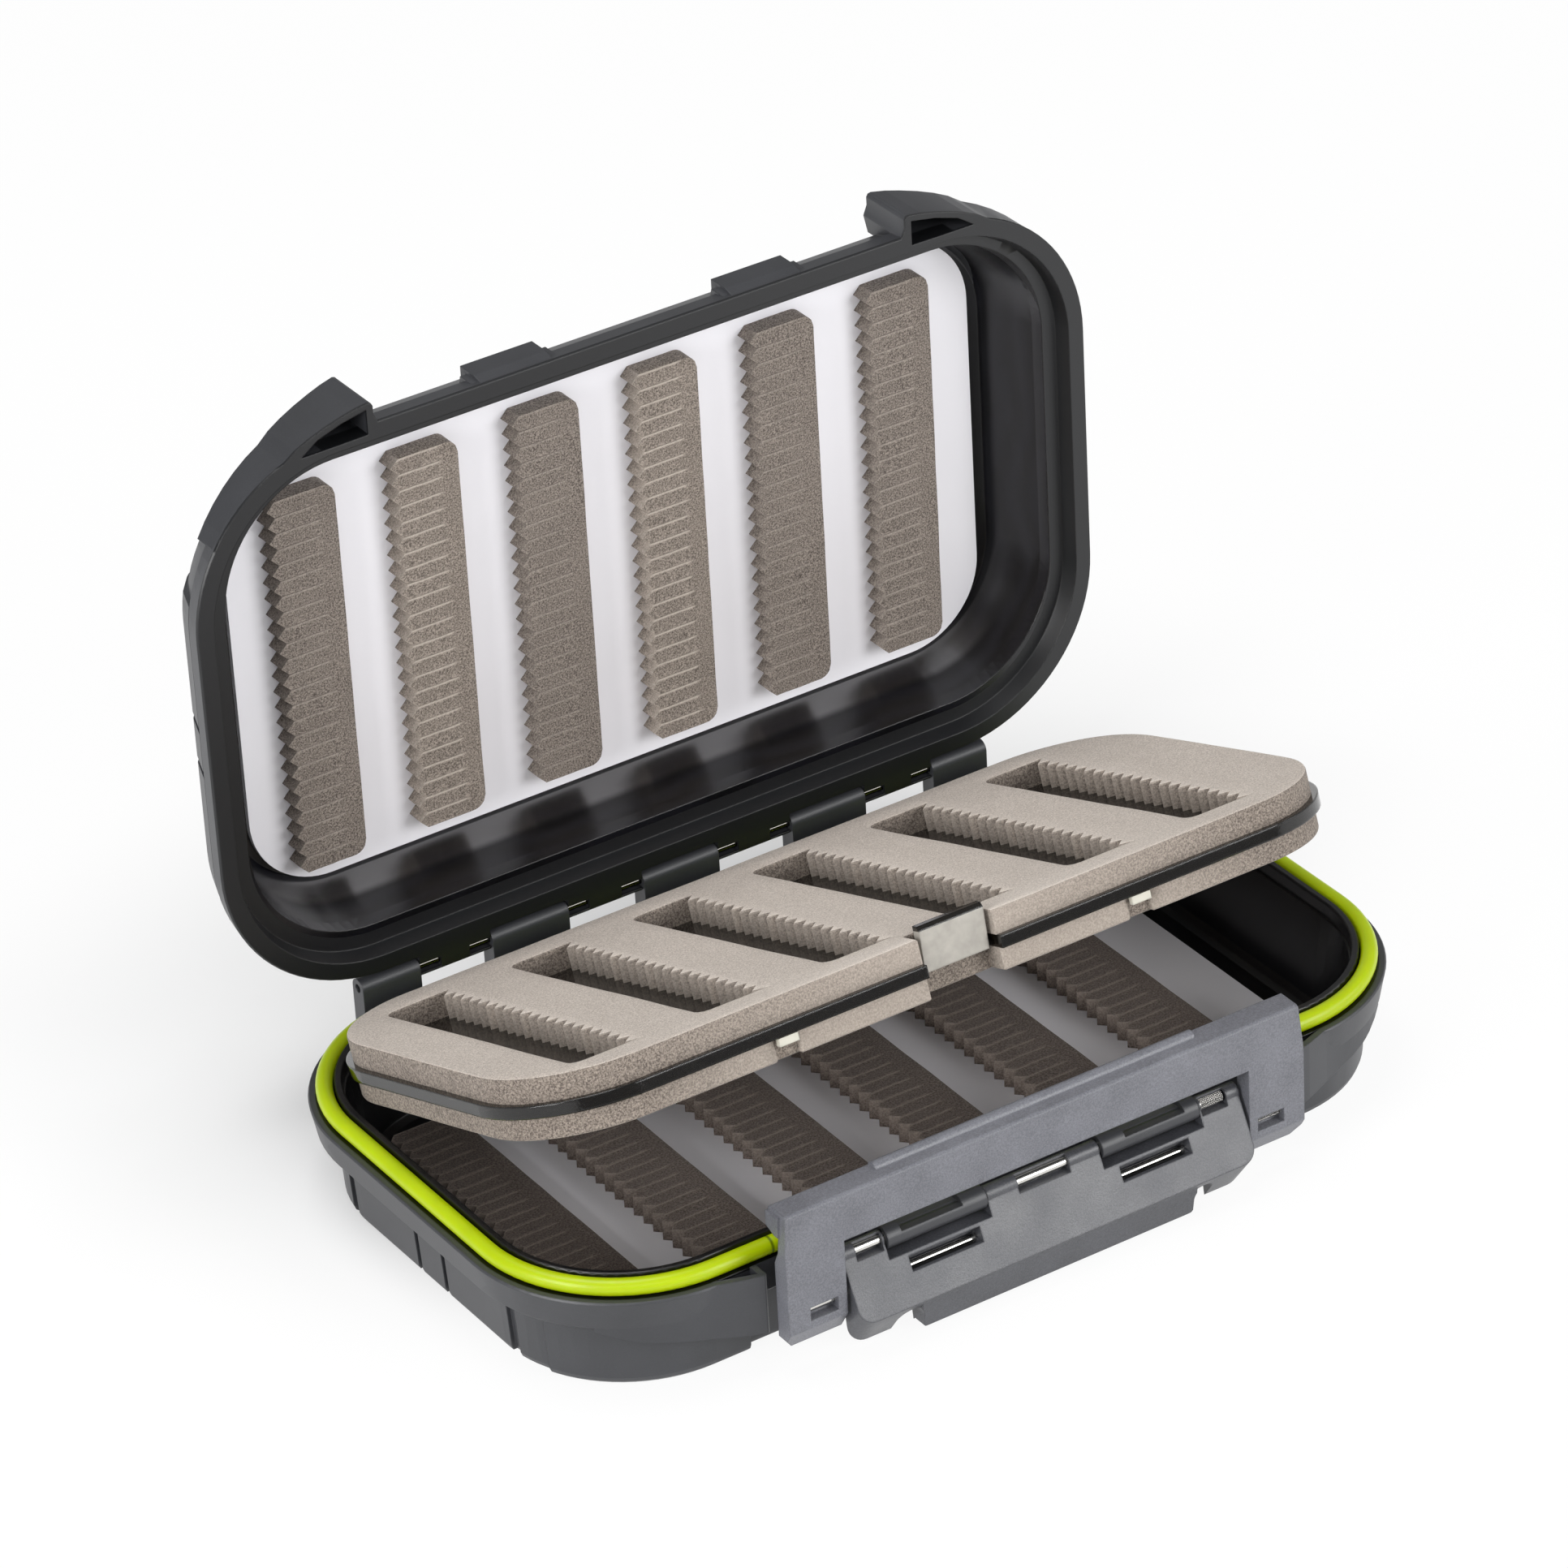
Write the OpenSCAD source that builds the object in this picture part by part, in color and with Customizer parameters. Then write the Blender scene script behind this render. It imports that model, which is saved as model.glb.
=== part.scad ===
// Fly box: a gasketed case with a hinged lid, a foam-faced middle leaf and a two-link latch.
// Millimetres. The origin is the centre of the base's underside, X runs along the hinge,
// +Y points to the hinge side and +Z up. The lid is drawn open and the leaf half raised.

/* [Case] */
// Length of the case along the hinge
case_w = 190; // [176:1:220]
// Depth of the case from the latch side to the hinge side
case_d = 111; // [104:1:124]
// Corner radius of the rim, seen from above
corner_r = 31.5; // [29:0.5:36]
// Height of the base from its underside to its rim
base_h = 20.5; // [19:0.5:28]
// Height of the lid from its rim to its roof
lid_h = 20.5; // [19:0.5:28]
// Thickness of the floor of the base
floor_t = 2; // [1.6:0.1:3]
// Thickness of the roof of the lid
roof_t = 2.7; // [2:0.1:3.5]
// Height of the thickened band round both rims
band_h = 7; // [5:0.5:8]
// How far the wall steps in under the band
band_step = 4.2; // [3.4:0.1:4.6]
// How far the raised side panels stand proud of the wall
panel_t = 0.8; // [0.4:0.1:1]
// Width of the grooves that divide the side panels
panel_groove = 1.3; // [0.8:0.1:2.5]
// Length of the middle side panel between its two grooves
panel_mid = 7.8; // [6:0.2:14]
// Distance of the wide side grooves from the middle of the case
wide_groove_y = 26; // [20:0.5:27]
// Width of those wide grooves
wide_groove_w = 2.4; // [1.2:0.1:3]
// How far the feet at the front corners stand proud of the side panels
foot_t = 0.7; // [0.3:0.1:1]

/* [Seal] */
// Diameter of the gasket cord
gasket_d = 3.2; // [2.4:0.1:3.2]
// Inset of the ledge that the gasket lies on, from the rim's outline
ledge_inset = 1.4; // [1.2:0.1:1.8]
// Depth of the ledge below the rim
ledge_drop = 0.15; // [0.1:0.05:0.4]
// Running gap beside and above the gasket
seal_gap = 0.1; // [0.05:0.05:0.2]
// Thickness of the upright lip inside the gasket
lip_t = 1.5; // [1.2:0.1:1.8]
// Depth of the recess in the lid's rim that the lip faces
recess_depth = 3; // [2:0.2:3.4]
// Width of the lid's flat rim face
rim_face = 3.5; // [3:0.1:3.6]

/* [Hinge] */
// Diameter of the hinge pin
hinge_pin_d = 1.6; // [1.2:0.1:1.8]
// Distance of the hinge axis behind the rim's outline
hinge_back = 2.4; // [2.4:0.1:3]
// Height of the hinge axis above the closed lid's rim face
hinge_rise = 1.4; // [1.2:0.1:1.8]
// Radius of the hinge knuckles round the axis
knuckle_r = 1.9; // [1.7:0.05:2]
// Width of the middle knuckles of the base
knuckle_w = 16.5; // [14:0.5:18]
// Distance between the middles of neighbouring base knuckles
knuckle_pitch = 33; // [31:0.5:36]
// Width of the two end knuckles of the base
end_knuckle_w = 12.3; // [10:0.3:14]
// Gap between a base knuckle and its neighbour on the lid
knuckle_gap = 0.2; // [0.15:0.05:0.4]
// Width of the openings in the lid knuckles that show the pin
knuckle_window_w = 4.5; // [3:0.5:5]
// Height of those openings
knuckle_window_h = 2; // [1.6:0.1:2.4]
// Radial clearance of every pin in its bore
pin_clear = 0.05; // [0.03:0.01:0.08]
// Angle that the lid is drawn open
lid_open = 90; // [80:1:90]

/* [Foam strips] */
// Number of foam strips in the lid and in the base
strip_count = 6; // [4:1:6]
// Distance between neighbouring strips of the lid
lid_strip_pitch = 25.5; // [20:0.5:26]
// Distance between neighbouring strips of the base
base_strip_pitch = 25.35; // [20:0.5:26]
// Bare end of the base's plate beside its first strip
base_strip_margin = 1; // [0.5:0.1:3]
// Width of a strip with its teeth
strip_w = 14; // [12:0.5:16]
// Thickness of a strip
strip_t = 4; // [3:0.5:5]
// Number of teeth along a strip
strip_teeth = 24; // [18:1:24]
// Distance between neighbouring teeth
tooth_pitch = 3.2; // [2.8:0.1:3.3]
// Depth of the teeth
tooth_depth = 1.6; // [1.2:0.1:2]
// Length of the slit that runs on from each notch
slit_l = 9; // [6:0.5:9.5]
// Width of that slit
slit_w = 0.3; // [0.2:0.05:0.4]
// Corner radius of the strip's plain edge
strip_corner_r = 2.6; // [1.5:0.1:3.5]
// Thickness of the white plates under the strips
plate_t = 1.2; // [1:0.1:1.6]
// Corner radius of the white plates
plate_corner_r = 16; // [12:0.5:20]
// Inset of the lid's plate from the rim's outline at the two ends
lid_plate_inset_x = 15; // [13:0.5:20]
// Inset of the base's plate from the rim's outline at the two ends
base_plate_inset_x = 16.5; // [14:0.5:20]
// Inset of both plates from the rim's outline at the latch and hinge sides
plate_inset_y = 12.1; // [12:0.1:16]

/* [Middle leaf] */
// Angle that the leaf is drawn raised
leaf_open = 19.8; // [0:0.1:24]
// Thickness of the foam on top of the leaf
pad_top_t = 4.6; // [3:0.1:4.8]
// Thickness of the foam under the leaf
pad_bottom_t = 4.4; // [3:0.1:5]
// Thickness of the leaf's smoked plate
leaf_plate_t = 2.4; // [1.6:0.1:2.6]
// Gap between the leaf's plate and the base's lip at the two ends
leaf_side_gap = 0.7; // [0.5:0.1:1.5]
// How far the plate stands out past its foam
pad_inset = 1.3; // [0.8:0.1:2]
// Depth of the foam on the leaf, hinge side to latch side
pad_d = 85.7; // [78:0.5:86]
// Corner radius of the leaf's foam
pad_corner_r = 20.5; // [16:0.5:22]
// Number of windows through the leaf's foam
window_count = 6; // [4:1:6]
// Distance between neighbouring windows
window_pitch = 26.1; // [20:0.1:26.4]
// How far the row of windows lies to the left of the middle
window_shift = 3; // [0:0.1:3.2]
// Width of a window up to the tips of its teeth
window_w = 13.2; // [10:0.2:15]
// Number of teeth along a window
window_teeth = 22; // [16:1:22]
// Width of the finger notch in the leaf's front edge
notch_w = 15.6; // [12:0.2:20]
// Depth of the finger notch
notch_d = 4.4; // [3:0.2:5]
// Diameter of the leaf's two pivot pins
leaf_pin_d = 1.6; // [1.2:0.1:1.8]
// Distance of each pivot from the middle of the case
leaf_pivot_x = 58; // [40:1:60]

/* [Latch] */
// Diameter of the pin that the lever turns on
lever_pin_d = 2; // [1.6:0.1:2.2]
// Diameter of the pin that the bail turns on
bail_pin_d = 1.6; // [1.2:0.1:1.8]
// Width of the lever
lever_w = 84.8; // [78:0.2:85]
// Length of the lever below its pin
lever_l = 18.2; // [16:0.1:18.2]
// Width of the finger lip along the lever's lower edge
lever_lip_w = 59; // [50:1:62]
// Distance of the lever's pin in front of the rim's outline
lever_pin_out = 3.3; // [3.1:0.1:3.8]
// Depth of the lever's pin below the rim
lever_pin_drop = 1.5; // [1.3:0.1:2]
// Distance of the bail's pin below the lever's pin
bail_pin_drop = 6.8; // [6.4:0.1:7]
// Distance of the bail's pin in front of the lever's pin
bail_pin_out = 1.5; // [1.3:0.1:1.7]
// Width of the bail across its legs
bail_w = 110.6; // [107:0.2:111]
// Gap between the lever and each leg of the bail
leg_gap = 0.8; // [0.6:0.1:2]
// Height of the bail above its pin
bail_h = 22.3; // [22.1:0.1:23]
// Height of the bail's opening above its pin
bail_opening = 12.2; // [12.1:0.1:13]
// Depth of the hook along the top of the bail
hook_depth = 5.6; // [5:0.1:5.7]
// Width of each catch tab on the lid
tab_w = 15; // [10:0.5:16]
// Distance of each catch tab's middle from the middle of the lid
tab_x = 26.5; // [22:0.5:30]
// How far the catch tabs stand out past the rim's outline
tab_out = 0.5; // [0.3:0.1:0.7]
// Height of the catch tabs above the lid's rim face
tab_h = 7.6; // [6:0.1:7.7]

/* [Hidden] */
$fn = 72;

// Colours
shell_grey = [0.29, 0.30, 0.31];
latch_grey = [0.32, 0.34, 0.36];
plate_white = [0.90, 0.90, 0.92];
lid_foam = [0.49, 0.45, 0.42];
base_foam = [0.25, 0.22, 0.20];
leaf_foam = [0.69, 0.65, 0.60];
lime = [0.60, 0.80, 0.05];
steel = [0.80, 0.80, 0.82];
smoke = [0.20, 0.20, 0.20, 0.8];

// Small overlap that fuses a feature to the wall it grows from
bite = 0.6;
// Length that carries a cut clear through
through = 200;

// Half sizes of the rim's outline and the middles of its corner arcs
half_w = case_w / 2;
half_d = case_d / 2;
arc_x = half_w - corner_r;
arc_y = half_d - corner_r;

// Gasket seat and lip, as insets from the outline and heights from the base's underside
gasket_r = gasket_d / 2;
ledge_z = base_h - ledge_drop;
gasket_inset = ledge_inset + seal_gap + gasket_r;
gasket_z = ledge_z + 0.05 + gasket_r;
lip_inset = gasket_inset + gasket_r + 2 * seal_gap;
cavity_inset = lip_inset + lip_t;
lip_z = base_h + 0.9 * gasket_d;
cavity_draft = 2.6;
cavity_fillet = 3;

// Closed lid: its rim face lies just above the gasket
lid_z = gasket_z + gasket_r + seal_gap;
hinge_y = half_d + hinge_back;
hinge_z = lid_z + hinge_rise;
// The lid's inside is set this far towards the latch
lid_shift = 1.2;
lid_wall_inset = 7.5;
lid_wall_lean = 4.4;

// Middles of the base knuckles, and the widths between the knuckles that the lid fills
end_knuckle_x = 1.906 * knuckle_pitch;
knuckle_front = hinge_y - knuckle_r;
knuckle_foot = 5;

// Plates and strips
base_plate_z = floor_t;
base_strip_z = base_plate_z + plate_t;
plate_d = case_d - 2 * plate_inset_y;
base_plate_d = plate_d - 4.8;
lid_plate_z = lid_z + lid_h - roof_t - plate_t;
strip_l = strip_teeth * tooth_pitch;
lid_strips_x = 5.2 - strip_w / 2;
base_strips_x = base_plate_inset_x + base_strip_margin + strip_w / 2 - half_w;
lid_strips_y = -0.6;
base_strips_y = -2;
base_plate_y = -1.5;

// Leaf: its pivot sits in ears on the base's rear wall
leaf_pivot_y = half_d - cavity_inset - 1.8;
leaf_pivot_z = base_h + 1.8;
pad_back = 4.1;
plate_back = 2.9;
leaf_plate_top = 1.4;
leaf_plate_half_w = half_w - cavity_inset - leaf_side_gap;
pad_half_w = leaf_plate_half_w - pad_inset;
leaf_lug_w = 5;
leaf_lug_r = 1.7;
ear_w = 2;
ear_gap = 0.3;
nub_x = 37.5;
nub_w = 4;
nub_h = 1.6;
nub_d = 1.2;
tab_gap = 1;
tab_rise = 1.8;

// Latch: lever pin and bail pin
lever_pin_y = -half_d - lever_pin_out;
lever_pin_z = base_h - lever_pin_drop;
bail_pin_y = lever_pin_y - bail_pin_out;
bail_pin_z = lever_pin_z - bail_pin_drop;
barrel_r = 2.2;
lever_top = 1.6;
notch_rise = 5.6;
lever_back = 0.7;
barrel_in = 12.4;
barrel_out = 33.3;
front_recess = ledge_inset - 0.1;
horn_tip_x = bail_w / 2 + 1;
foot_y = 35.5;
leg_inner = lever_w / 2 + leg_gap;

// Outline profiles, as [inset, height] points from the lowest to the highest
function base_profile(out = 0) = [
    [band_step + 3.1 - out, 0],
    [band_step + 2.1 - out, 0.9],
    [band_step + 1.75 - out, 1.8],
    [band_step + 1 - out, base_h - band_h]];
function base_panel(out) = concat(base_profile(out), [[band_step + 1 - out, base_h - band_h + 1]]);
base_band = [
    [2.2, base_h - band_h],
    [1, base_h - band_h + 1.2],
    [0, base_h - 0.4],
    [0.25, base_h],
    [ledge_inset, base_h],
    [ledge_inset, ledge_z],
    [lip_inset, ledge_z],
    [lip_inset, lip_z - 0.3],
    [lip_inset + 0.3, lip_z],
    [cavity_inset - 0.3, lip_z],
    [cavity_inset, lip_z - 0.3],
    [cavity_inset, ledge_z]];
base_cavity = concat(
    [for (a = [90:-30:30])
        [cavity_inset + cavity_draft + cavity_fillet * (1 - cos(a)),
         floor_t + cavity_fillet * (1 - sin(a))]],
    [[cavity_inset + cavity_draft, floor_t + cavity_fillet + 1.5],
     [cavity_inset, lip_z - 0.3],
     [cavity_inset, lip_z + 1]]);
function lid_profile(out = 0) = [
    [0.6 + panel_t - out, lid_z + 4],
    [3.5 - out, lid_z + 10],
    [6.5 - out, lid_z + lid_h - 6.5],
    [11 - out, lid_z + lid_h - 2],
    [15 - out, lid_z + lid_h - 0.3],
    [18 - out, lid_z + lid_h]];
lid_band = [
    [0.25, lid_z],
    [0, lid_z + 0.4],
    [0.6, lid_z + 4]];
lid_recess = [[rim_face, lid_z - 1], [rim_face, lid_z], [rim_face + 1, lid_z + recess_depth]];
lid_cavity = [
    [lid_wall_inset, lid_z],
    [lid_wall_inset, lid_z + recess_depth],
    [lid_wall_inset + 0.1 * lid_wall_lean, lid_z + 5.6],
    [lid_wall_inset + 0.3 * lid_wall_lean, lid_z + 9.6],
    [lid_wall_inset + 0.6 * lid_wall_lean, lid_z + 13.6],
    [lid_wall_inset + 0.9 * lid_wall_lean, lid_z + lid_h - roof_t - 1],
    [lid_wall_inset + lid_wall_lean, lid_z + lid_h - roof_t]];

// Sweeps a section, drawn as [distance out from the corner arcs' middles, height], round the case
module swept_section(grow = 0) {
    for (sx = [-1, 1], sy = [-1, 1])
        translate([sx * arc_x, sy * arc_y, 0])
            mirror([sx < 0 ? 1 : 0, 0, 0])
                mirror([0, sy < 0 ? 1 : 0, 0])
                    rotate_extrude(angle = 90) children();
    for (turn = [0, 180])
        rotate(turn) {
            translate([-arc_x, arc_y, 0]) rotate([90, 0, 90]) linear_extrude(2 * arc_x) children();
            translate([arc_x, arc_y, 0]) rotate([90, 0, 0]) linear_extrude(2 * arc_y) children();
        }
}

// Solid whose outline follows the rim at the insets of a profile
module swept_solid(profile) {
    low = profile[0][1];
    high = profile[len(profile) - 1][1];
    section = concat([[0, low]], [for (p = profile) [corner_r - p[0], p[1]]], [[0, high]]);
    swept_section() polygon(section);
    translate([-arc_x, -arc_y, low]) cube([2 * arc_x, 2 * arc_y, high - low]);
}

// Rectangle with four round corners, centred
module rounded_rect(w, d, r) {
    square([w - 2 * r, d], center = true);
    square([w, d - 2 * r], center = true);
    for (sx = [-1, 1], sy = [-1, 1])
        translate([sx * (w / 2 - r), sy * (d / 2 - r)]) circle(r);
}

// Extrudes a section drawn in Y and Z along X, from x0 to x1
module along_x(x0, x1) {
    translate([x0, 0, 0]) rotate([90, 0, 90]) linear_extrude(x1 - x0) children();
}

// Extrudes an outline drawn in X and Z along Y, from y0 to y1
module along_y(y0, y1) {
    translate([0, y1, 0]) rotate([90, 0, 0]) linear_extrude(y1 - y0) children();
}

// Round bar along X from x0 to x1
module bar_x(x0, x1, d) {
    translate([x0, 0, 0]) rotate([0, 90, 0]) cylinder(h = x1 - x0, d = d);
}

module both_sides() {
    children();
    mirror([1, 0, 0]) children();
}

// Turns what is drawn in the closed lid's place to where the open lid holds it
module in_open_lid() {
    translate([0, hinge_y, hinge_z]) rotate([-lid_open, 0, 0]) translate([0, -hinge_y, -hinge_z]) children();
}

// Turns what is drawn round the leaf's pivot, flat, to the raised leaf's place
module in_raised_leaf() {
    translate([0, leaf_pivot_y, leaf_pivot_z]) rotate([-leaf_open, 0, 0]) children();
}

// Slabs across both ends of the case, which cut the side panels from a fuller outline
module panel_spans(reach, low, high) {
    mid = panel_mid / 2;
    for (span = [[-reach, -mid - panel_groove], [-mid, mid], [mid + panel_groove, reach]])
        both_sides() translate([arc_x + 10, span[0], low]) cube([corner_r, span[1] - span[0], high - low]);
}

// Buttress at a front corner, horn included: a plan outline cut by a front view of [x, height]
// points. Both are drawn for the +X side.
module horn(outline, front_view) {
    heights = [for (p = front_view) p[1]];
    intersection() {
        translate([0, 0, min(heights)]) linear_extrude(max(heights) - min(heights)) polygon(outline);
        along_y(-half_d - 10, 0) polygon(front_view);
    }
}

// Point of a front corner at an angle from the front wall, set in from the rim's outline
function corner_point(angle, inset) = [
    arc_x + (corner_r - inset) * sin(angle),
    -arc_y - (corner_r - inset) * cos(angle)];

base_horn = concat([
    [horn_tip_x, -half_d + 5],
    [horn_tip_x, -half_d - 2],
    [horn_tip_x + 0.5, -half_d - 2.4],
    [horn_tip_x + 4.2, -half_d - 1.5],
    [horn_tip_x + 7, -half_d - 0.5],
    [horn_tip_x + 9.6, -half_d + 0.5]],
    [for (a = [14:6:44]) corner_point(a, 1.2)],
    [corner_point(44, 5)]);
base_horn_front = [
    [horn_tip_x - 1, base_h - 12.3],
    [horn_tip_x + 13.7, base_h - 10.7],
    [horn_tip_x + 21.7, base_h - 9.2],
    [horn_tip_x + 28.2, base_h - band_h + 0.1],
    [horn_tip_x + 30, base_h - band_h + 0.1],
    [horn_tip_x + 30, base_h],
    [horn_tip_x - 1, base_h]];
base_horn_pocket = [
    [horn_tip_x + 1.2, -half_d + ledge_inset],
    [horn_tip_x + 1.2, -half_d - 1.2],
    [horn_tip_x + 8.6, -half_d + ledge_inset]];
lid_horn = concat([
    [horn_tip_x, -half_d + 4],
    [horn_tip_x - 0.8, -half_d + 0.3],
    [horn_tip_x - 0.6, -half_d - 0.2],
    [horn_tip_x, -half_d - 1.6],
    [horn_tip_x, -half_d - 3.2],
    [horn_tip_x + 0.3, -half_d - 3.8],
    [horn_tip_x + 0.9, -half_d - 4],
    [horn_tip_x + 3.7, -half_d - 3.6],
    [horn_tip_x + 6.5, -half_d - 2.95],
    [horn_tip_x + 10, -half_d - 1.95],
    [horn_tip_x + 13.2, -half_d - 0.8],
    [horn_tip_x + 16, -half_d + 0.5]],
    [for (a = [21:6:57]) corner_point(a, 0.1)],
    [corner_point(57, 5)]);
lid_horn_front = [
    [horn_tip_x - 1, lid_z],
    [horn_tip_x + 36, lid_z],
    [horn_tip_x + 36, lid_z + 5.6],
    [horn_tip_x + 33.5, lid_z + 6.2],
    [horn_tip_x + 29.5, lid_z + 7],
    [horn_tip_x + 15.4, lid_z + 9.8],
    [horn_tip_x, lid_z + 12.6],
    [horn_tip_x - 1, lid_z + 12.6]];
lid_horn_pocket = [
    [horn_tip_x + 1.3, -half_d + 2.1],
    [horn_tip_x + 1.3, -half_d - 2.8],
    [horn_tip_x + 6.5, -half_d - 1.8],
    [horn_tip_x + 11.5, -half_d - 0.2],
    [horn_tip_x + 15, -half_d + 2.2],
    [horn_tip_x + 8, -half_d + 2.2]];
horn_pocket_depth = 9;

// One base knuckle of the lid hinge: a block up the rear wall with a round top about the axis
module base_knuckle(x, w) {
    translate([x - w / 2, 0, 0]) {
        translate([0, hinge_y, hinge_z]) bar_x(0, w, 2 * knuckle_r);
        translate([0, knuckle_front, base_h - 1]) cube([w, 2 * knuckle_r, hinge_z - base_h + 1]);
        translate([0, half_d - bite - 0.4, base_h - knuckle_foot])
            cube([w, hinge_back + knuckle_r + bite + 0.4, knuckle_foot - 0.6]);
    }
}

// Middles and widths of the five base knuckles
base_knuckles = [
    [-end_knuckle_x, end_knuckle_w],
    [-knuckle_pitch, knuckle_w],
    [0, knuckle_w],
    [knuckle_pitch, knuckle_w],
    [end_knuckle_x, end_knuckle_w]];

// Latch barrel on the base, with its dark window, drawn for the +X side
module lever_barrel() {
    window_in = barrel_in + 5;
    window_w = barrel_out - barrel_in - 8;
    difference() {
        union() {
            translate([0, lever_pin_y, lever_pin_z]) bar_x(barrel_in, barrel_out, 2 * barrel_r);
            translate([barrel_in, lever_pin_y, lever_pin_z - barrel_r])
                cube([barrel_out - barrel_in, lever_pin_out + front_recess + bite, barrel_r + lever_pin_drop - 0.3]);
        }
        translate([window_in, lever_pin_y - barrel_r, lever_pin_z + 1.1])
            cube([window_w, 2 * barrel_r + 0.6, barrel_r]);
    }
}

// Ear pair on the rear inner wall that carries one leaf pivot, drawn for the +X side
module leaf_ears() {
    for (x = [leaf_pivot_x - leaf_lug_w / 2 - ear_gap - ear_w, leaf_pivot_x + leaf_lug_w / 2 + ear_gap])
        difference() {
            translate([0, leaf_pivot_y, leaf_pivot_z]) {
                bar_x(x, x + ear_w, 2 * leaf_lug_r);
                translate([x, 0, -leaf_lug_r]) cube([ear_w, 1.8 + bite, 2 * leaf_lug_r - 1]);
            }
            translate([0, leaf_pivot_y, leaf_pivot_z])
                bar_x(x - 1, x + ear_w + 1, leaf_pin_d + 2 * pin_clear);
        }
}

module base_shell() color(shell_grey) {
    difference() {
        union() {
            swept_solid(concat(base_profile(), base_band));
            intersection() {
                swept_solid(base_panel(panel_t));
                panel_spans(wide_groove_y, 1, base_h - band_h + 1);
            }
            // The wall stands out again round the corners, and most at the two feet in front
            intersection() {
                swept_solid(base_panel(panel_t));
                for (sy = [-1, 1]) mirror([0, sy < 0 ? 1 : 0, 0]) both_sides()
                    translate([horn_tip_x, wide_groove_y + wide_groove_w, 0])
                        cube([half_w, half_d, base_h - band_h + 1]);
            }
            intersection() {
                swept_solid(base_panel(panel_t + foot_t));
                both_sides() translate([horn_tip_x, -half_d, 0]) cube([half_w, half_d - foot_y, base_h - band_h + 1]);
            }
            both_sides() horn(base_horn, base_horn_front);
            for (k = base_knuckles) base_knuckle(k[0], k[1]);
        }
        swept_solid(base_cavity);
        // Open channel for the gasket, across the horns as well
        swept_section() translate([corner_r - lip_inset, ledge_z])
            square([lip_inset - ledge_inset, gasket_d]);
        both_sides() translate([0, 0, base_h - horn_pocket_depth])
            linear_extrude(horn_pocket_depth + 1) polygon(base_horn_pocket);
        // The front wall is set back between the horns to make room for the latch
        translate([-horn_tip_x, -half_d - 1, base_h - 12.3]) cube([2 * horn_tip_x, 1 + front_recess, 13]);
        translate([0, hinge_y, hinge_z]) bar_x(-through, through, hinge_pin_d + 2 * pin_clear);
    }
    both_sides() difference() {
        lever_barrel();
        translate([0, lever_pin_y, lever_pin_z]) bar_x(0, through, lever_pin_d + 2 * pin_clear);
    }
    both_sides() leaf_ears();
}

module gasket() color(lime)
    swept_section() translate([corner_r - gasket_inset, gasket_z]) circle(gasket_r, $fn = 24);

module base_plate() color(plate_white)
    translate([0, base_plate_y, base_plate_z]) linear_extrude(plate_t)
        rounded_rect(case_w - 2 * base_plate_inset_x, base_plate_d, plate_corner_r);

// Foam strip with teeth on its -X edge and a slit running on from each notch, centred
module foam_strip() {
    right = strip_w / 2;
    left = -strip_w / 2;
    r = strip_corner_r;
    corner = [for (a = [0:30:90]) [right - r + r * cos(a), strip_l / 2 - r + r * sin(a)]];
    teeth = [for (i = [0:strip_teeth - 1], p = [
        [left + tooth_depth, 0],
        [left, tooth_pitch / 2],
        [left + tooth_depth, tooth_pitch - slit_w / 2],
        [left + tooth_depth + slit_l, tooth_pitch - slit_w / 2],
        [left + tooth_depth + slit_l, tooth_pitch],
        [left + tooth_depth, tooth_pitch]])
        if (i < strip_teeth - 1 || p[0] < left + tooth_depth + 1)
            [p[0], strip_l / 2 - i * tooth_pitch - p[1]]];
    linear_extrude(strip_t)
        polygon(concat(corner, teeth, [for (i = [len(corner) - 1:-1:0]) [corner[i][0], -corner[i][1]]]));
}

// Middle of piece i, counted from 0, in a centred row of count pieces
function row_x(i, count, pitch) = (i - (count - 1) / 2) * pitch;

module base_strip(i) color(base_foam)
    if (i < strip_count)
        translate([base_strips_x + i * base_strip_pitch, base_strips_y, base_strip_z])
            foam_strip();

module hinge_pin() color(steel)
    translate([0, hinge_y, hinge_z])
        bar_x(-end_knuckle_x - end_knuckle_w / 2 + 0.5, end_knuckle_x + end_knuckle_w / 2 - 0.5, hinge_pin_d);

module leaf_pins() color(steel)
    both_sides() translate([0, leaf_pivot_y, leaf_pivot_z])
        bar_x(leaf_pivot_x - leaf_lug_w / 2 - ear_gap - ear_w,
              leaf_pivot_x + leaf_lug_w / 2 + ear_gap + ear_w, leaf_pin_d);

module lever_pin() color(steel)
    translate([0, lever_pin_y, lever_pin_z]) bar_x(2.7 - lever_w / 2, lever_w / 2 - 3.1, lever_pin_d);

// Lid knuckle that fills the gap between two base knuckles, drawn for the closed lid
module lid_knuckle(x0, x1) {
    window_z = lid_z + hinge_rise - knuckle_window_h / 2;
    difference() {
        intersection() {
            union() {
                translate([0, hinge_y, hinge_z]) bar_x(x0, x1, 2 * knuckle_r + 0.1);
                translate([x0, half_d - 1.2, lid_z]) cube([x1 - x0, hinge_back + 1.2, hinge_rise + knuckle_r]);
            }
            translate([x0, half_d - 2, lid_z]) cube([x1 - x0, hinge_back + knuckle_r + 3, 2 * knuckle_r + 2]);
        }
        for (x = [x0, x1 - knuckle_window_w])
            translate([x, hinge_y - knuckle_window_h / 2, lid_z - 1])
                cube([knuckle_window_w, knuckle_window_h, 1 + hinge_rise]);
    }
}

// The two gaps between knuckles on the +X side
lid_knuckles = [
    [knuckle_w / 2 + knuckle_gap, knuckle_pitch - knuckle_w / 2 - knuckle_gap],
    [knuckle_pitch + knuckle_w / 2 + knuckle_gap, end_knuckle_x - end_knuckle_w / 2 - knuckle_gap]];

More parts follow.
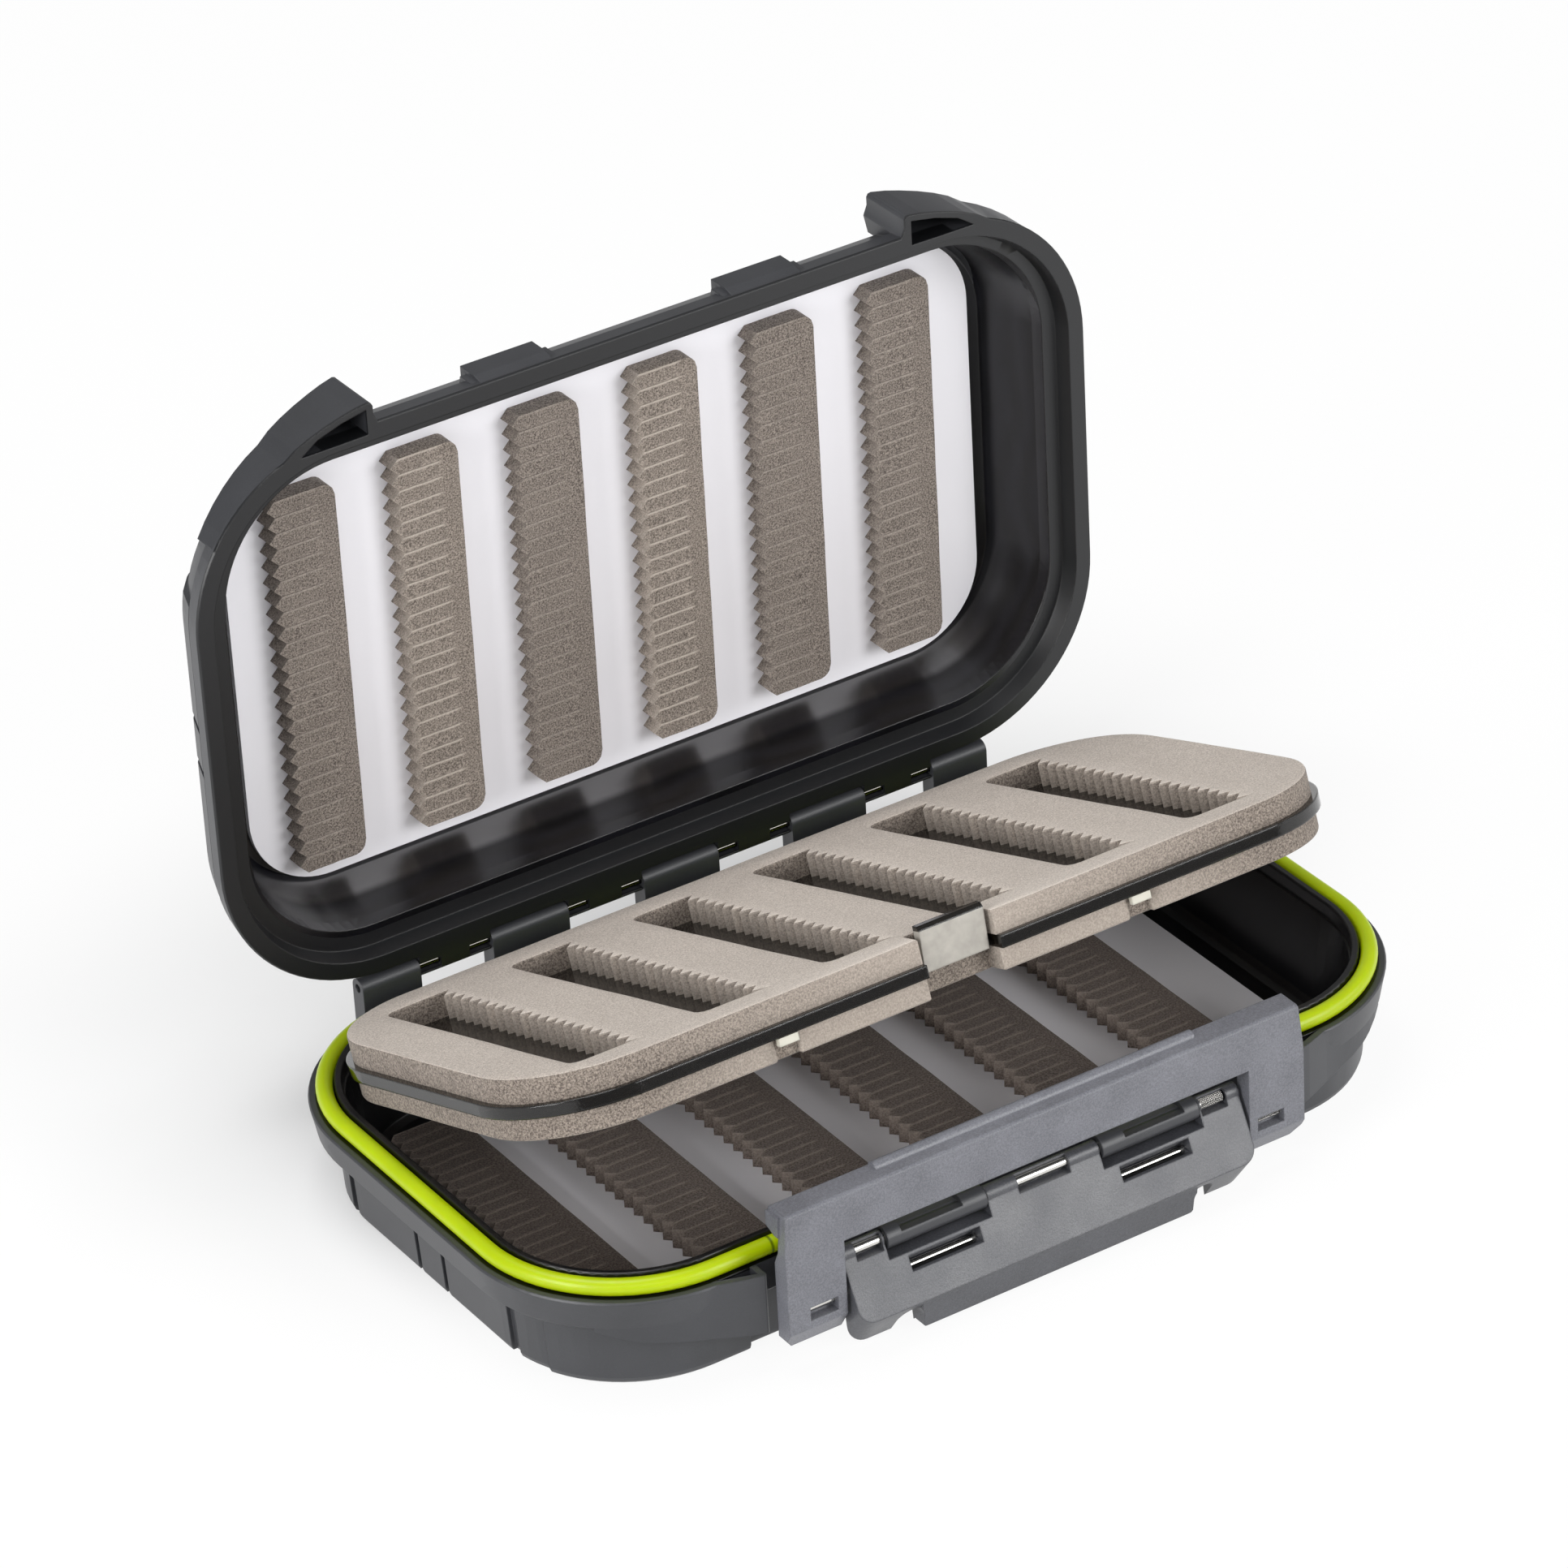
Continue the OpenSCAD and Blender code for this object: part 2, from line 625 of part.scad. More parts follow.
// Catch tab that the bail's hook grips, with a lower shoulder on each side
module catch_tab() {
    face_y = -half_d - tab_out;
    along_x(tab_x - tab_w / 2, tab_x + tab_w / 2)
        polygon([[-half_d + 4, lid_z + 0.6], [-half_d + 0.1, lid_z + 0.6], [face_y, lid_z + 3],
                 [face_y, lid_z + tab_h], [-half_d + 4, lid_z + tab_h]]);
    along_x(tab_x - tab_w / 2 - 1.4, tab_x + tab_w / 2 + 1.4)
        polygon([[-half_d + 4, lid_z + 1], [-half_d + 0.2, lid_z + 1], [-half_d + 0.2, lid_z + 5.4],
                 [-half_d + 4, lid_z + tab_h - 1]]);
}

module lid_shell() color(shell_grey) in_open_lid() difference() {
    union() {
        swept_solid(concat(lid_band, lid_profile()));
        intersection() {
            swept_solid(lid_profile(panel_t));
            panel_spans(29.6, lid_z + 4.3, lid_z + 15);
        }
        both_sides() {
            horn(lid_horn, lid_horn_front);
            catch_tab();
            for (k = lid_knuckles) lid_knuckle(k[0], k[1]);
        }
    }
    swept_solid(lid_recess);
    translate([0, -lid_shift, 0]) swept_solid(lid_cavity);
    both_sides() translate([0, 0, lid_z - 1]) linear_extrude(horn_pocket_depth + 1) polygon(lid_horn_pocket);
    translate([0, hinge_y, hinge_z]) bar_x(-through, through, hinge_pin_d + 2 * pin_clear);
}

module lid_plate() color(plate_white) in_open_lid()
    translate([0, -lid_shift, lid_plate_z]) linear_extrude(plate_t)
        rounded_rect(case_w - 2 * lid_plate_inset_x, plate_d, plate_corner_r);

module lid_strip(i) color(lid_foam)
    if (i < strip_count) in_open_lid()
        translate([lid_strips_x + row_x(i, strip_count, lid_strip_pitch), lid_strips_y, lid_plate_z - strip_t])
            foam_strip();

// Outline of the leaf's foam, from the pivot: rounded, notched at the front and with toothed windows
module pad_outline() {
    front = -pad_back - pad_d;
    window_l = window_teeth * tooth_pitch;
    difference() {
        translate([0, -pad_back - pad_d / 2]) rounded_rect(2 * pad_half_w, pad_d, pad_corner_r);
        translate([0, front]) square([notch_w, 2 * notch_d], center = true);
        for (i = [0:window_count - 1])
            translate([row_x(i, window_count, window_pitch) - window_w / 2 - window_shift,
                       -pad_back - (pad_d - window_l) / 2 - 0.6])
                window_outline(window_l);
    }
}

// Window with a saw edge on its +X side, running towards -Y from its first corner
module window_outline(l) {
    r = 2;
    polygon(concat(
        [[r, 0]],
        [for (i = [0:window_teeth - 1], p = [[window_w, 0], [window_w - 2, tooth_pitch * 0.65]])
            [p[0], -i * tooth_pitch - p[1]]],
        [[window_w, -l]],
        [for (a = [270:-30:180]) [r + r * cos(a), -l + r + r * sin(a)]],
        [for (a = [180:-30:90]) [r + r * cos(a), -r + r * sin(a)]]));
}

module leaf_plate() color(smoke) in_raised_leaf() {
    front = -pad_back - pad_d - pad_inset;
    depth = pad_back + pad_d + pad_inset - plate_back;
    low = leaf_plate_top - leaf_plate_t;
    difference() {
        union() {
            translate([0, (front - plate_back) / 2, low]) linear_extrude(leaf_plate_t)
                rounded_rect(2 * leaf_plate_half_w, depth, pad_corner_r + pad_inset);
            both_sides() {
                // Pivot lug
                bar_x(leaf_pivot_x - leaf_lug_w / 2, leaf_pivot_x + leaf_lug_w / 2, 2 * leaf_lug_r);
                translate([leaf_pivot_x - leaf_lug_w / 2, -plate_back - bite, low])
                    cube([leaf_lug_w, plate_back + bite, leaf_plate_t]);
                // Snap nub under the front edge
                translate([nub_x - nub_w / 2, front, low - nub_h]) cube([nub_w, nub_d, nub_h + bite]);
            }
        }
        translate([-notch_w / 2, front - 1, low - 1]) cube([notch_w, notch_d + 1, leaf_plate_t + 2]);
        both_sides() bar_x(leaf_pivot_x - leaf_lug_w, leaf_pivot_x + leaf_lug_w, leaf_pin_d + 2 * pin_clear);
    }
    // Finger tab that rises in the notch
    root = front + notch_d;
    tip = leaf_plate_top + pad_top_t + tab_rise;
    along_x(tab_gap - notch_w / 2, notch_w / 2 - tab_gap)
        polygon([[root + bite, low], [root - 1.4, low], [root - 2.6, tip - 0.8], [root - 2, tip],
                 [root - 0.6, tip], [root - 0.2, leaf_plate_top], [root + bite, leaf_plate_top]]);
}

module leaf_pad_top() color(leaf_foam) in_raised_leaf()
    translate([0, 0, leaf_plate_top]) linear_extrude(pad_top_t) pad_outline();

module leaf_pad_bottom() color(leaf_foam) in_raised_leaf()
    translate([0, 0, leaf_plate_top - leaf_plate_t - pad_bottom_t]) linear_extrude(pad_bottom_t)
        difference() {
            pad_outline();
            // Foam is cut away round the snap nubs
            both_sides() translate([nub_x - nub_w / 2 - 0.5, -pad_back - pad_d - 1]) square([nub_w + 1, 1 + 2 * nub_d - pad_inset]);
        }

// Thin upright plate with round lower corners, between two [y, z] points from the lever's pin
module lever_plate(top, foot, r) {
    lean = atan2(top[0] - foot[0], top[1] - foot[1]);
    high = norm(top - foot);
    translate([0, foot[0], foot[1]]) rotate([-lean, 0, 0]) both_sides() {
        along_y(0, 0.1) translate([lever_w / 2 - r, r]) circle(r, $fn = 32);
        translate([lever_w / 2 - 1, 0, high - 1]) cube([1, 0.1, 1]);
    }
}

// Lever: a wedge with a leaning front face, a finger lip below it and a roll round its pin
module latch_lever() color(latch_grey) translate([0, lever_pin_y, lever_pin_z]) difference() {
    fold = 0.62 * lever_l;
    union() {
        hull() {
            lever_plate([-1.4, 0], [-0.385 * lever_l, -fold], 3);
            lever_plate([lever_back, 1], [-0.13 * lever_l, 0.5 - lever_l], 3.6);
        }
        bar_x(-lever_w / 2, lever_w / 2, 2 * lever_top);
        intersection() {
            along_x(-lever_lip_w / 2, lever_lip_w / 2)
                polygon([[-0.34 * lever_l, 1 - fold], [-0.355 * lever_l, -fold - 0.6], [-0.3 * lever_l, 0.5 - lever_l],
                         [-0.27 * lever_l, -lever_l], [-0.19 * lever_l, -lever_l], [-0.13 * lever_l, 0.5 - lever_l],
                         [-0.09 * lever_l, 1 - fold]]);
            along_y(-lever_l, lever_l) translate([0, -fold]) rounded_rect(lever_lip_w, 2 * (lever_l - fold), 2.4);
        }
    }
    // Notch at each side of the finger lip
    both_sides() translate([lever_lip_w / 2 + 1.9, 0, -lever_l]) along_y(-lever_l, lever_l) {
        translate([0, notch_rise - 2.4]) circle(2.4);
        translate([-2.4, -1]) square([4.8, notch_rise - 1.4]);
    }
    // Room for the barrels on the base
    both_sides() translate([barrel_in - 0.4, -lever_l, -barrel_r - 0.8])
        cube([barrel_out - barrel_in + 0.8, 2 * lever_l, lever_l]);
    bar_x(3 - lever_w, lever_w - 3, lever_pin_d + 2 * pin_clear);
    translate([0, -bail_pin_out, -bail_pin_drop]) bar_x(-through, through, bail_pin_d + 2 * pin_clear);
    // Openings in the front face that show the two pins
    for (x = [-lever_w / 2 + 2.7, -5.5, lever_w / 2 - 8.3])
        translate([x, -6, -1.3]) cube([x == -5.5 ? 11 : 5.6, 6, 3.2]);
    both_sides() translate([15, -lever_l, -bail_pin_drop + 0.6]) cube([15, lever_l - bail_pin_out, 2.6]);
}

module bail_pin() color(steel)
    translate([0, bail_pin_y, bail_pin_z]) bar_x(3.8 - bail_w / 2, bail_w / 2 - 3.8, bail_pin_d);

module latch_bail() color(latch_grey) translate([0, bail_pin_y, bail_pin_z]) {
    front = -2.1;
    back = 1.5;
    hook_back = front + hook_depth + 0.2;
    leg_low = -6.7;
    top = bail_h - 0.9;
    difference() {
        intersection() {
            along_x(-bail_w / 2, bail_w / 2)
                polygon([[front + 2.4, leg_low], [back - 0.4, leg_low], [back, leg_low + 0.6], [back, 10.8],
                         [0.3, bail_opening + 1.2], [0.3, top - 2.4], [0.9, top - 1.6], [hook_back, top - 1.6],
                         [hook_back, top - 0.3], [hook_back - 0.3, top], [front + 1, top], [front + 0.5, top - 0.4],
                         [front, 10.8], [front, leg_low + 3.9], [front + 0.2, leg_low + 3.5]]);
            along_y(-6, 6) bail_outline(leg_low);
        }
        both_sides() bar_x(0, bail_w / 2 - 3.6, bail_pin_d + 2 * pin_clear);
        // Openings in the legs that show the bail's pin
        both_sides() translate([leg_inner + 1.8, -6, -1.4]) cube([5.8, 6, 2.8]);
    }
    // The hook is deeper at its two ends
    both_sides() along_x(bail_w / 2 - 1.6, bail_w / 2)
        polygon([[0, top - 0.8], [hook_back, top - 0.8], [hook_back, top - 3.8], [1.2, top - 4.8], [0, top - 4.8]]);
    // Rounded rib along the back of the hook
    translate([0, hook_back - 1.3, top - 0.4]) intersection() {
        bar_x(-34, 34, 2.6);
        along_x(-34, 34) polygon([[-1.3, 0], [1.3, 0], [1.3, 1.3], [-1.3, 1.3]]);
    }
}

// Front outline of the bail in X and Z, from its pin: two legs under a beam
module bail_outline(leg_low) {
    both_sides() polygon([[leg_inner, leg_low], [bail_w / 2 - 1.6, leg_low], [bail_w / 2, leg_low + 2.2],
                          [bail_w / 2, bail_opening + 1], [bail_w / 2 - 0.8, bail_h], [leg_inner, bail_h]]);
    translate([-leg_inner - 1, bail_opening]) square([2 * leg_inner + 2, bail_h - bail_opening]);
}

base_shell();
gasket();
base_plate();
base_strip(0);  // base_strip_1
base_strip(1);  // base_strip_2
base_strip(2);  // base_strip_3
base_strip(3);  // base_strip_4
base_strip(4);  // base_strip_5
base_strip(5);  // base_strip_6
hinge_pin();
leaf_pins();
lever_pin();
lid_shell();
lid_plate();
lid_strip(0);  // lid_strip_1
lid_strip(1);  // lid_strip_2
lid_strip(2);  // lid_strip_3
lid_strip(3);  // lid_strip_4
lid_strip(4);  // lid_strip_5
lid_strip(5);  // lid_strip_6
leaf_plate();
leaf_pad_top();
leaf_pad_bottom();
latch_lever();
bail_pin();
latch_bail();
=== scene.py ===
# Fly box: a gasketed case with a hinged lid, toothed foam strips, a foam-faced leaf and a latch.
# The CAD frame gives every place and size in metres; this script gives the pieces their finish
# and models the soft foam, following the box as it is put together.
import math

import bmesh
import bpy
from mathutils import Matrix, Vector, noise


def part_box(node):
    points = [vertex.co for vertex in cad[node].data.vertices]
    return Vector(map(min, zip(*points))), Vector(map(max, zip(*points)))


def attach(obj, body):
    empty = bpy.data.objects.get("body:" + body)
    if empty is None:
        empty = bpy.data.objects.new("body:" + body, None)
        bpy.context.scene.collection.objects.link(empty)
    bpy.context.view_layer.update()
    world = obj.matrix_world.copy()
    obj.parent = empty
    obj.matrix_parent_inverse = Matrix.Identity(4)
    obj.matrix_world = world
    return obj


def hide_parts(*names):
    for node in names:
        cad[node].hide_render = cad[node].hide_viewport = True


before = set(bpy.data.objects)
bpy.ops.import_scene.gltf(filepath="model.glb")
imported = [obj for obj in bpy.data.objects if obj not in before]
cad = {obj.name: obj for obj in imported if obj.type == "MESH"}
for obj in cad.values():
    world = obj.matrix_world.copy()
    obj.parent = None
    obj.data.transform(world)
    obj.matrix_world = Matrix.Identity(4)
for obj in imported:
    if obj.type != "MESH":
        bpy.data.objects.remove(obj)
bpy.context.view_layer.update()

# Camera: a long studio lens looks down on the box from the front left, as in the photograph.
# Its place, its turn and its length were solved from the outlines of both rims and the latch.
lens_position = Vector((-0.60953, -0.96340, 0.75761))
lens_right = Vector((0.83270, -0.55157, -0.04877))
lens_up = Vector((0.32006, 0.40759, 0.85524))
lens_forward = Vector((0.45185, 0.72777, -0.51594))
film_width = 36
lens_length = 172.27
camera_data = bpy.data.cameras.new("studio_camera")
camera_data.sensor_width = film_width
camera_data.lens = lens_length
camera_data.clip_start = 0.05
camera_data.clip_end = 20
camera = bpy.data.objects.new("studio_camera", camera_data)
camera.matrix_world = Matrix(
    [
        (*[v[row] for v in (lens_right, lens_up, -lens_forward)], lens_position[row])
        for row in range(3)
    ]
    + [(0, 0, 0, 1)]
)
bpy.context.scene.collection.objects.link(camera)
bpy.context.scene.camera = camera
bpy.context.scene.view_settings.view_transform = "Standard"


# Studio: a white sweep under five soft boxes. The strong ones stand at the left, at the front
# right and overhead, the weak ones at the right and the front left, and an even white surround
# fills the shadows.
def srgb(code):
    """Linear colour of an sRGB hex value."""
    channels = [int(code[i : i + 2], 16) / 255 for i in (1, 3, 5)]
    return [c / 12.92 if c <= 0.04045 else ((c + 0.055) / 1.055) ** 2.4 for c in channels] + [1.0]


def new_material(name):
    material = bpy.data.materials.new(name)
    material.use_nodes = True
    material.node_tree.nodes.clear()
    return material


def add_node(tree, kind, settings=None, **inputs):
    """Adds a node. Settings are its own properties; inputs are values or the sockets that feed it."""
    node = tree.nodes.new(kind)
    for key, value in (settings or {}).items():
        setattr(node, key, value)
    for key, value in inputs.items():
        name = key.replace("_", " ").title() if not key.startswith("i_") else int(key[2:])
        socket = node.inputs[name]
        if isinstance(value, bpy.types.NodeSocket):
            tree.links.new(value, socket)
        else:
            socket.default_value = value
    return node


lens_sees_floor = 0.92
painted_shadow_glow = 0.1
sweep_white = new_material("painted_white_sweep")
tree = sweep_white.node_tree
seen = add_node(tree, "ShaderNodeLightPath")
place = add_node(tree, "ShaderNodeTexCoord").outputs["Object"]
paint = add_node(tree, "ShaderNodeBsdfDiffuse", color=srgb("#f4f4f4"))
glow = add_node(tree, "ShaderNodeEmission", color=(1, 1, 1, 1), strength=1.0)
seen_straight = add_node(
    tree, "ShaderNodeMath", {"operation": "MAXIMUM"},
    i_0=seen.outputs["Is Camera Ray"], i_1=seen.outputs["Is Glossy Ray"],
)
# The strip of floor close behind the hinge glows less: a painted shadow of the box
behind = add_node(tree, "ShaderNodeMapping", i_0=place, i_1=(0, -0.95, 0), i_3=(8, 13, 1))
painted_shadow_distance = add_node(tree, "ShaderNodeVectorMath", {"operation": "LENGTH"}, i_0=behind.outputs[0])
share = add_node(tree, "ShaderNodeMapRange", {"interpolation_type": "SMOOTHSTEP"},
                 i_0=painted_shadow_distance.outputs["Value"], i_1=0.5, i_2=1.5, i_3=painted_shadow_glow, i_4=lens_sees_floor)
share = add_node(tree, "ShaderNodeMath", {"operation": "MULTIPLY"},
                 i_0=seen_straight.outputs[0], i_1=share.outputs[0])
mixed = add_node(tree, "ShaderNodeMixShader",
                 i_0=share.outputs[0], i_1=paint.outputs[0], i_2=glow.outputs[0])
add_node(tree, "ShaderNodeOutputMaterial", surface=mixed.outputs[0])

floor_reach = 4
floor_mesh = bmesh.new()
bmesh.ops.create_grid(floor_mesh, x_segments=1, y_segments=1, size=floor_reach)
floor_data = bpy.data.meshes.new("studio_floor")
floor_mesh.to_mesh(floor_data)
floor_mesh.free()
floor_data.materials.append(sweep_white)
floor = bpy.data.objects.new("studio_floor", floor_data)
bpy.context.scene.collection.objects.link(floor)

surround_light = 0.29
world = bpy.data.worlds.new("studio_surround")
bpy.context.scene.world = world
world.use_nodes = True
tree = world.node_tree
tree.nodes.clear()
seen = add_node(tree, "ShaderNodeLightPath")
surround = add_node(tree, "ShaderNodeBackground", color=(1, 1, 1, 1), strength=surround_light)
white = add_node(tree, "ShaderNodeBackground", color=(1, 1, 1, 1), strength=1.0)
seen_straight = add_node(
    tree, "ShaderNodeMath", {"operation": "MAXIMUM"},
    i_0=seen.outputs["Is Camera Ray"], i_1=seen.outputs["Is Transmission Ray"],
)
mixed = add_node(tree, "ShaderNodeMixShader",
                 i_0=seen_straight.outputs[0], i_1=surround.outputs[0], i_2=white.outputs[0])
add_node(tree, "ShaderNodeOutputWorld", surface=mixed.outputs[0])

# Every lamp has its place and width in metres and its power in watts, and faces the box
aim = Vector((0, 0, 0.05))
for lamp_name, place, size, power in (
    ("front_right_soft_box", (0.70, -1.25, 0.55), 0.8, 13.5),
    ("right_soft_box", (1.25, -0.60, 0.60), 0.6, 3.0),
    ("left_soft_box", (-1.30, -0.35, 0.50), 0.7, 14.0),
    ("front_left_soft_box", (-0.55, -1.15, 0.95), 0.6, 2.5),
    ("top_soft_box", (-0.20, 0.20, 1.50), 0.8, 10.0),
):
    lamp = bpy.data.lights.new(lamp_name, "AREA")
    lamp.shape = "SQUARE"
    lamp.size = size
    lamp.energy = power
    lamp_object = bpy.data.objects.new(lamp_name, lamp)
    lamp_object.location = place
    lamp_object.rotation_mode = "QUATERNION"
    lamp_object.rotation_quaternion = (aim - Vector(place)).to_track_quat("-Z", "Y")
    bpy.context.scene.collection.objects.link(lamp_object)

# Case shells: base and lid are injection-moulded ABS in slate grey. The outside has a fine
# spark-eroded texture, and the inside has the gloss of a polished mould. The inside is painted
# nearly black as painted shade of the cavity, on top of the darkening its gloss gives.
MM = 0.001
merge_distance = 0.002 * MM
rim_half_w = 95 * MM
rim_half_d = 55.5 * MM
rim_corner = 31.5 * MM
hinge_y = 57.9 * MM
hinge_z = 25.1 * MM
lid_rim_z = 23.7 * MM
# The inside of the lid is less deep than a line that climbs from the rim inwards to the roof
lid_line_slope = 1.46
lid_line_start = 0.89 * MM
lid_roof_depth = 18.6 * MM
lid_recess_inset = 2.0 * MM
lid_cavity_inset = 7.3 * MM
# Least inset and least height of the base's cavity, and of its gasket channel
base_inside = ((6.2 * MM, 1.9 * MM), (1.38 * MM, 19.9 * MM))


def moulded_abs(name, outside, inside, lid):
    """Spark-textured outside, polished inside. The two are told apart by how far a point lies
    in from the rim's outline and how deep it is. The inside has two colours, a roughness and
    the strength of its mirror coat."""
    inside_shade_dark, inside_shade_light, inside_roughness, inside_coat = inside
    material = new_material(name)
    tree = material.node_tree
    place = add_node(tree, "ShaderNodeTexCoord").outputs["Object"]
    parts = add_node(tree, "ShaderNodeSeparateXYZ", vector=place)
    # Across the case, along its depth, and away from its outer face, in metres
    across = parts.outputs["X"]
    if lid:
        along = add_node(tree, "ShaderNodeMath", {"operation": "SUBTRACT"},
                         i_0=parts.outputs["Z"], i_1=hinge_z + hinge_y).outputs[0]
        depth = add_node(tree, "ShaderNodeMath", {"operation": "SUBTRACT"},
                         i_0=parts.outputs["Y"], i_1=hinge_y + lid_rim_z - hinge_z).outputs[0]
    else:
        along = parts.outputs["Y"]
        depth = parts.outputs["Z"]
    spans = []
    for value, straight in ((across, rim_half_w - rim_corner), (along, rim_half_d - rim_corner)):
        size = add_node(tree, "ShaderNodeMath", {"operation": "ABSOLUTE"}, i_0=value)
        spans.append(add_node(tree, "ShaderNodeMath", {"operation": "SUBTRACT"},
                              i_0=size.outputs[0], i_1=straight).outputs[0])
    positive = [add_node(tree, "ShaderNodeMath", {"operation": "MAXIMUM"}, i_0=span, i_1=0.0).outputs[0]
                for span in spans]
    corner = add_node(tree, "ShaderNodeCombineXYZ", x=positive[0], y=positive[1])
    reach = add_node(tree, "ShaderNodeVectorMath", {"operation": "LENGTH"}, i_0=corner.outputs[0])
    longer = add_node(tree, "ShaderNodeMath", {"operation": "MAXIMUM"}, i_0=spans[0], i_1=spans[1])
    flat = add_node(tree, "ShaderNodeMath", {"operation": "MINIMUM"}, i_0=longer.outputs[0], i_1=0.0)
    reach = add_node(tree, "ShaderNodeMath", {"operation": "ADD"},
                     i_0=reach.outputs["Value"], i_1=flat.outputs[0])
    inset = add_node(tree, "ShaderNodeMath", {"operation": "SUBTRACT"},
                     i_0=rim_corner, i_1=reach.outputs[0]).outputs[0]
    if lid:
        slope = add_node(tree, "ShaderNodeMath", {"operation": "MULTIPLY_ADD"},
                         i_0=inset, i_1=lid_line_slope, i_2=lid_line_start)
        limit = add_node(tree, "ShaderNodeMath", {"operation": "MINIMUM"},
                         i_0=slope.outputs[0], i_1=lid_roof_depth)
        shallow = add_node(tree, "ShaderNodeMath", {"operation": "LESS_THAN"},
                           i_0=depth, i_1=limit.outputs[0])
        far_in = add_node(tree, "ShaderNodeMath", {"operation": "GREATER_THAN"},
                          i_0=inset, i_1=lid_cavity_inset)
        polished = add_node(tree, "ShaderNodeMath", {"operation": "MULTIPLY"},
                            i_0=shallow.outputs[0], i_1=far_in.outputs[0]).outputs[0]
    else:
        sides = []
        for least_inset, least_height in base_inside:
            far_in = add_node(tree, "ShaderNodeMath", {"operation": "GREATER_THAN"},
                              i_0=inset, i_1=least_inset)
            above = add_node(tree, "ShaderNodeMath", {"operation": "GREATER_THAN"},
                             i_0=depth, i_1=least_height)
            sides.append(add_node(tree, "ShaderNodeMath", {"operation": "MULTIPLY"},
                                  i_0=far_in.outputs[0], i_1=above.outputs[0]).outputs[0])
        polished = add_node(tree, "ShaderNodeMath", {"operation": "MAXIMUM"},
                            i_0=sides[0], i_1=sides[1]).outputs[0]
    # Spark texture of 0.15 mm pits, drawn 0.3 mm wide so that it shows, and clouds 14 mm wide
    pits = add_node(tree, "ShaderNodeTexNoise", vector=place, scale=3300.0, detail=2.0, roughness=0.7)
    clouds = add_node(tree, "ShaderNodeTexNoise", vector=place, scale=70.0, detail=3.0)
    cloudy = add_node(tree, "ShaderNodeMath", {"operation": "MULTIPLY_ADD"},
                      i_0=pits.outputs["Fac"], i_1=0.7, i_2=-0.35)
    cloudy = add_node(tree, "ShaderNodeMath", {"operation": "ADD", "use_clamp": True},
                      i_0=cloudy.outputs[0], i_1=clouds.outputs["Fac"])
    tint = add_node(tree, "ShaderNodeMix", {"data_type": "RGBA"},
                    i_0=cloudy.outputs[0], i_6=srgb(outside[0]), i_7=srgb(outside[1]))
    if lid:
        # The flat face of the rim and its recess are painted darker, as painted shade
        rim_face = add_node(tree, "ShaderNodeMath", {"operation": "LESS_THAN"}, i_0=depth, i_1=0.5 * MM)
        recess = add_node(tree, "ShaderNodeMath", {"operation": "GREATER_THAN"},
                          i_0=inset, i_1=lid_recess_inset)
        recess = add_node(tree, "ShaderNodeMath", {"operation": "MULTIPLY"},
                          i_0=recess.outputs[0], i_1=shallow.outputs[0])
        rim_painted_shade = add_node(tree, "ShaderNodeMath", {"operation": "MAXIMUM"},
                          i_0=rim_face.outputs[0], i_1=recess.outputs[0])
        tint = add_node(tree, "ShaderNodeMix", {"data_type": "RGBA"},
                        i_0=rim_painted_shade.outputs[0], i_6=tint.outputs[2], i_7=srgb("#0f1013"))
    # Flow marks of the melt, about 5 mm apart, run round the lid's walls and across the base
    flow = add_node(tree, "ShaderNodeTexWave",
                    {"bands_direction": "Y" if lid else "X", "wave_profile": "SIN"},
                    vector=place, scale=60.0, distortion=9.0, detail=2.0, detail_scale=0.8)
    # The inside's two colours are painted near black, as painted shade of the cavity
    gloss = add_node(tree, "ShaderNodeMix", {"data_type": "RGBA"},
                     i_0=flow.outputs["Fac"], i_6=srgb(inside_shade_dark), i_7=srgb(inside_shade_light))
    colour = add_node(tree, "ShaderNodeMix", {"data_type": "RGBA"},
                      i_0=polished, i_6=tint.outputs[2], i_7=gloss.outputs[2])
    rough = add_node(tree, "ShaderNodeMapRange", i_0=polished, i_3=0.42, i_4=inside_roughness)
    # The wall beside the hinge is buffed to a mirror at its foot, which takes in the white plate
    foot = add_node(tree, "ShaderNodeMapRange", {"interpolation_type": "SMOOTHSTEP"},
                    i_0=depth, i_1=10.2 * MM, i_2=12.2 * MM, i_3=0.0, i_4=inside_coat)
    beside_hinge = add_node(tree, "ShaderNodeMapRange", {"interpolation_type": "SMOOTHSTEP"},
                            i_0=along, i_1=-44.0 * MM, i_2=-36.0 * MM, i_3=1.0, i_4=0.0)
    foot = add_node(tree, "ShaderNodeMath", {"operation": "MULTIPLY"},
                    i_0=foot.outputs[0], i_1=beside_hinge.outputs[0])
    coat = add_node(tree, "ShaderNodeMath", {"operation": "MULTIPLY"}, i_0=polished, i_1=foot.outputs[0])
    strength = add_node(tree, "ShaderNodeMapRange", i_0=polished, i_3=0.4, i_4=0.0)
    # Every moulded edge is broken by a radius of about 0.3 mm, which catches the light
    edges = add_node(tree, "ShaderNodeBevel", {"samples": 4}, radius=0.35 * MM)
    grain = add_node(tree, "ShaderNodeBump", strength=strength.outputs[0], distance=0.04 * MM,
                     height=pits.outputs["Fac"], normal=edges.outputs[0])
    shader = add_node(tree, "ShaderNodeBsdfPrincipled", i_0=colour.outputs[2],
                      roughness=rough.outputs[0], coat_weight=coat.outputs[0], normal=grain.outputs[0])
    shader.inputs["IOR"].default_value = 1.56
    shader.inputs["Coat Roughness"].default_value = 0.2
    shader.inputs["Coat IOR"].default_value = 2.3
    add_node(tree, "ShaderNodeOutputMaterial", surface=shader.outputs[0])
    return material


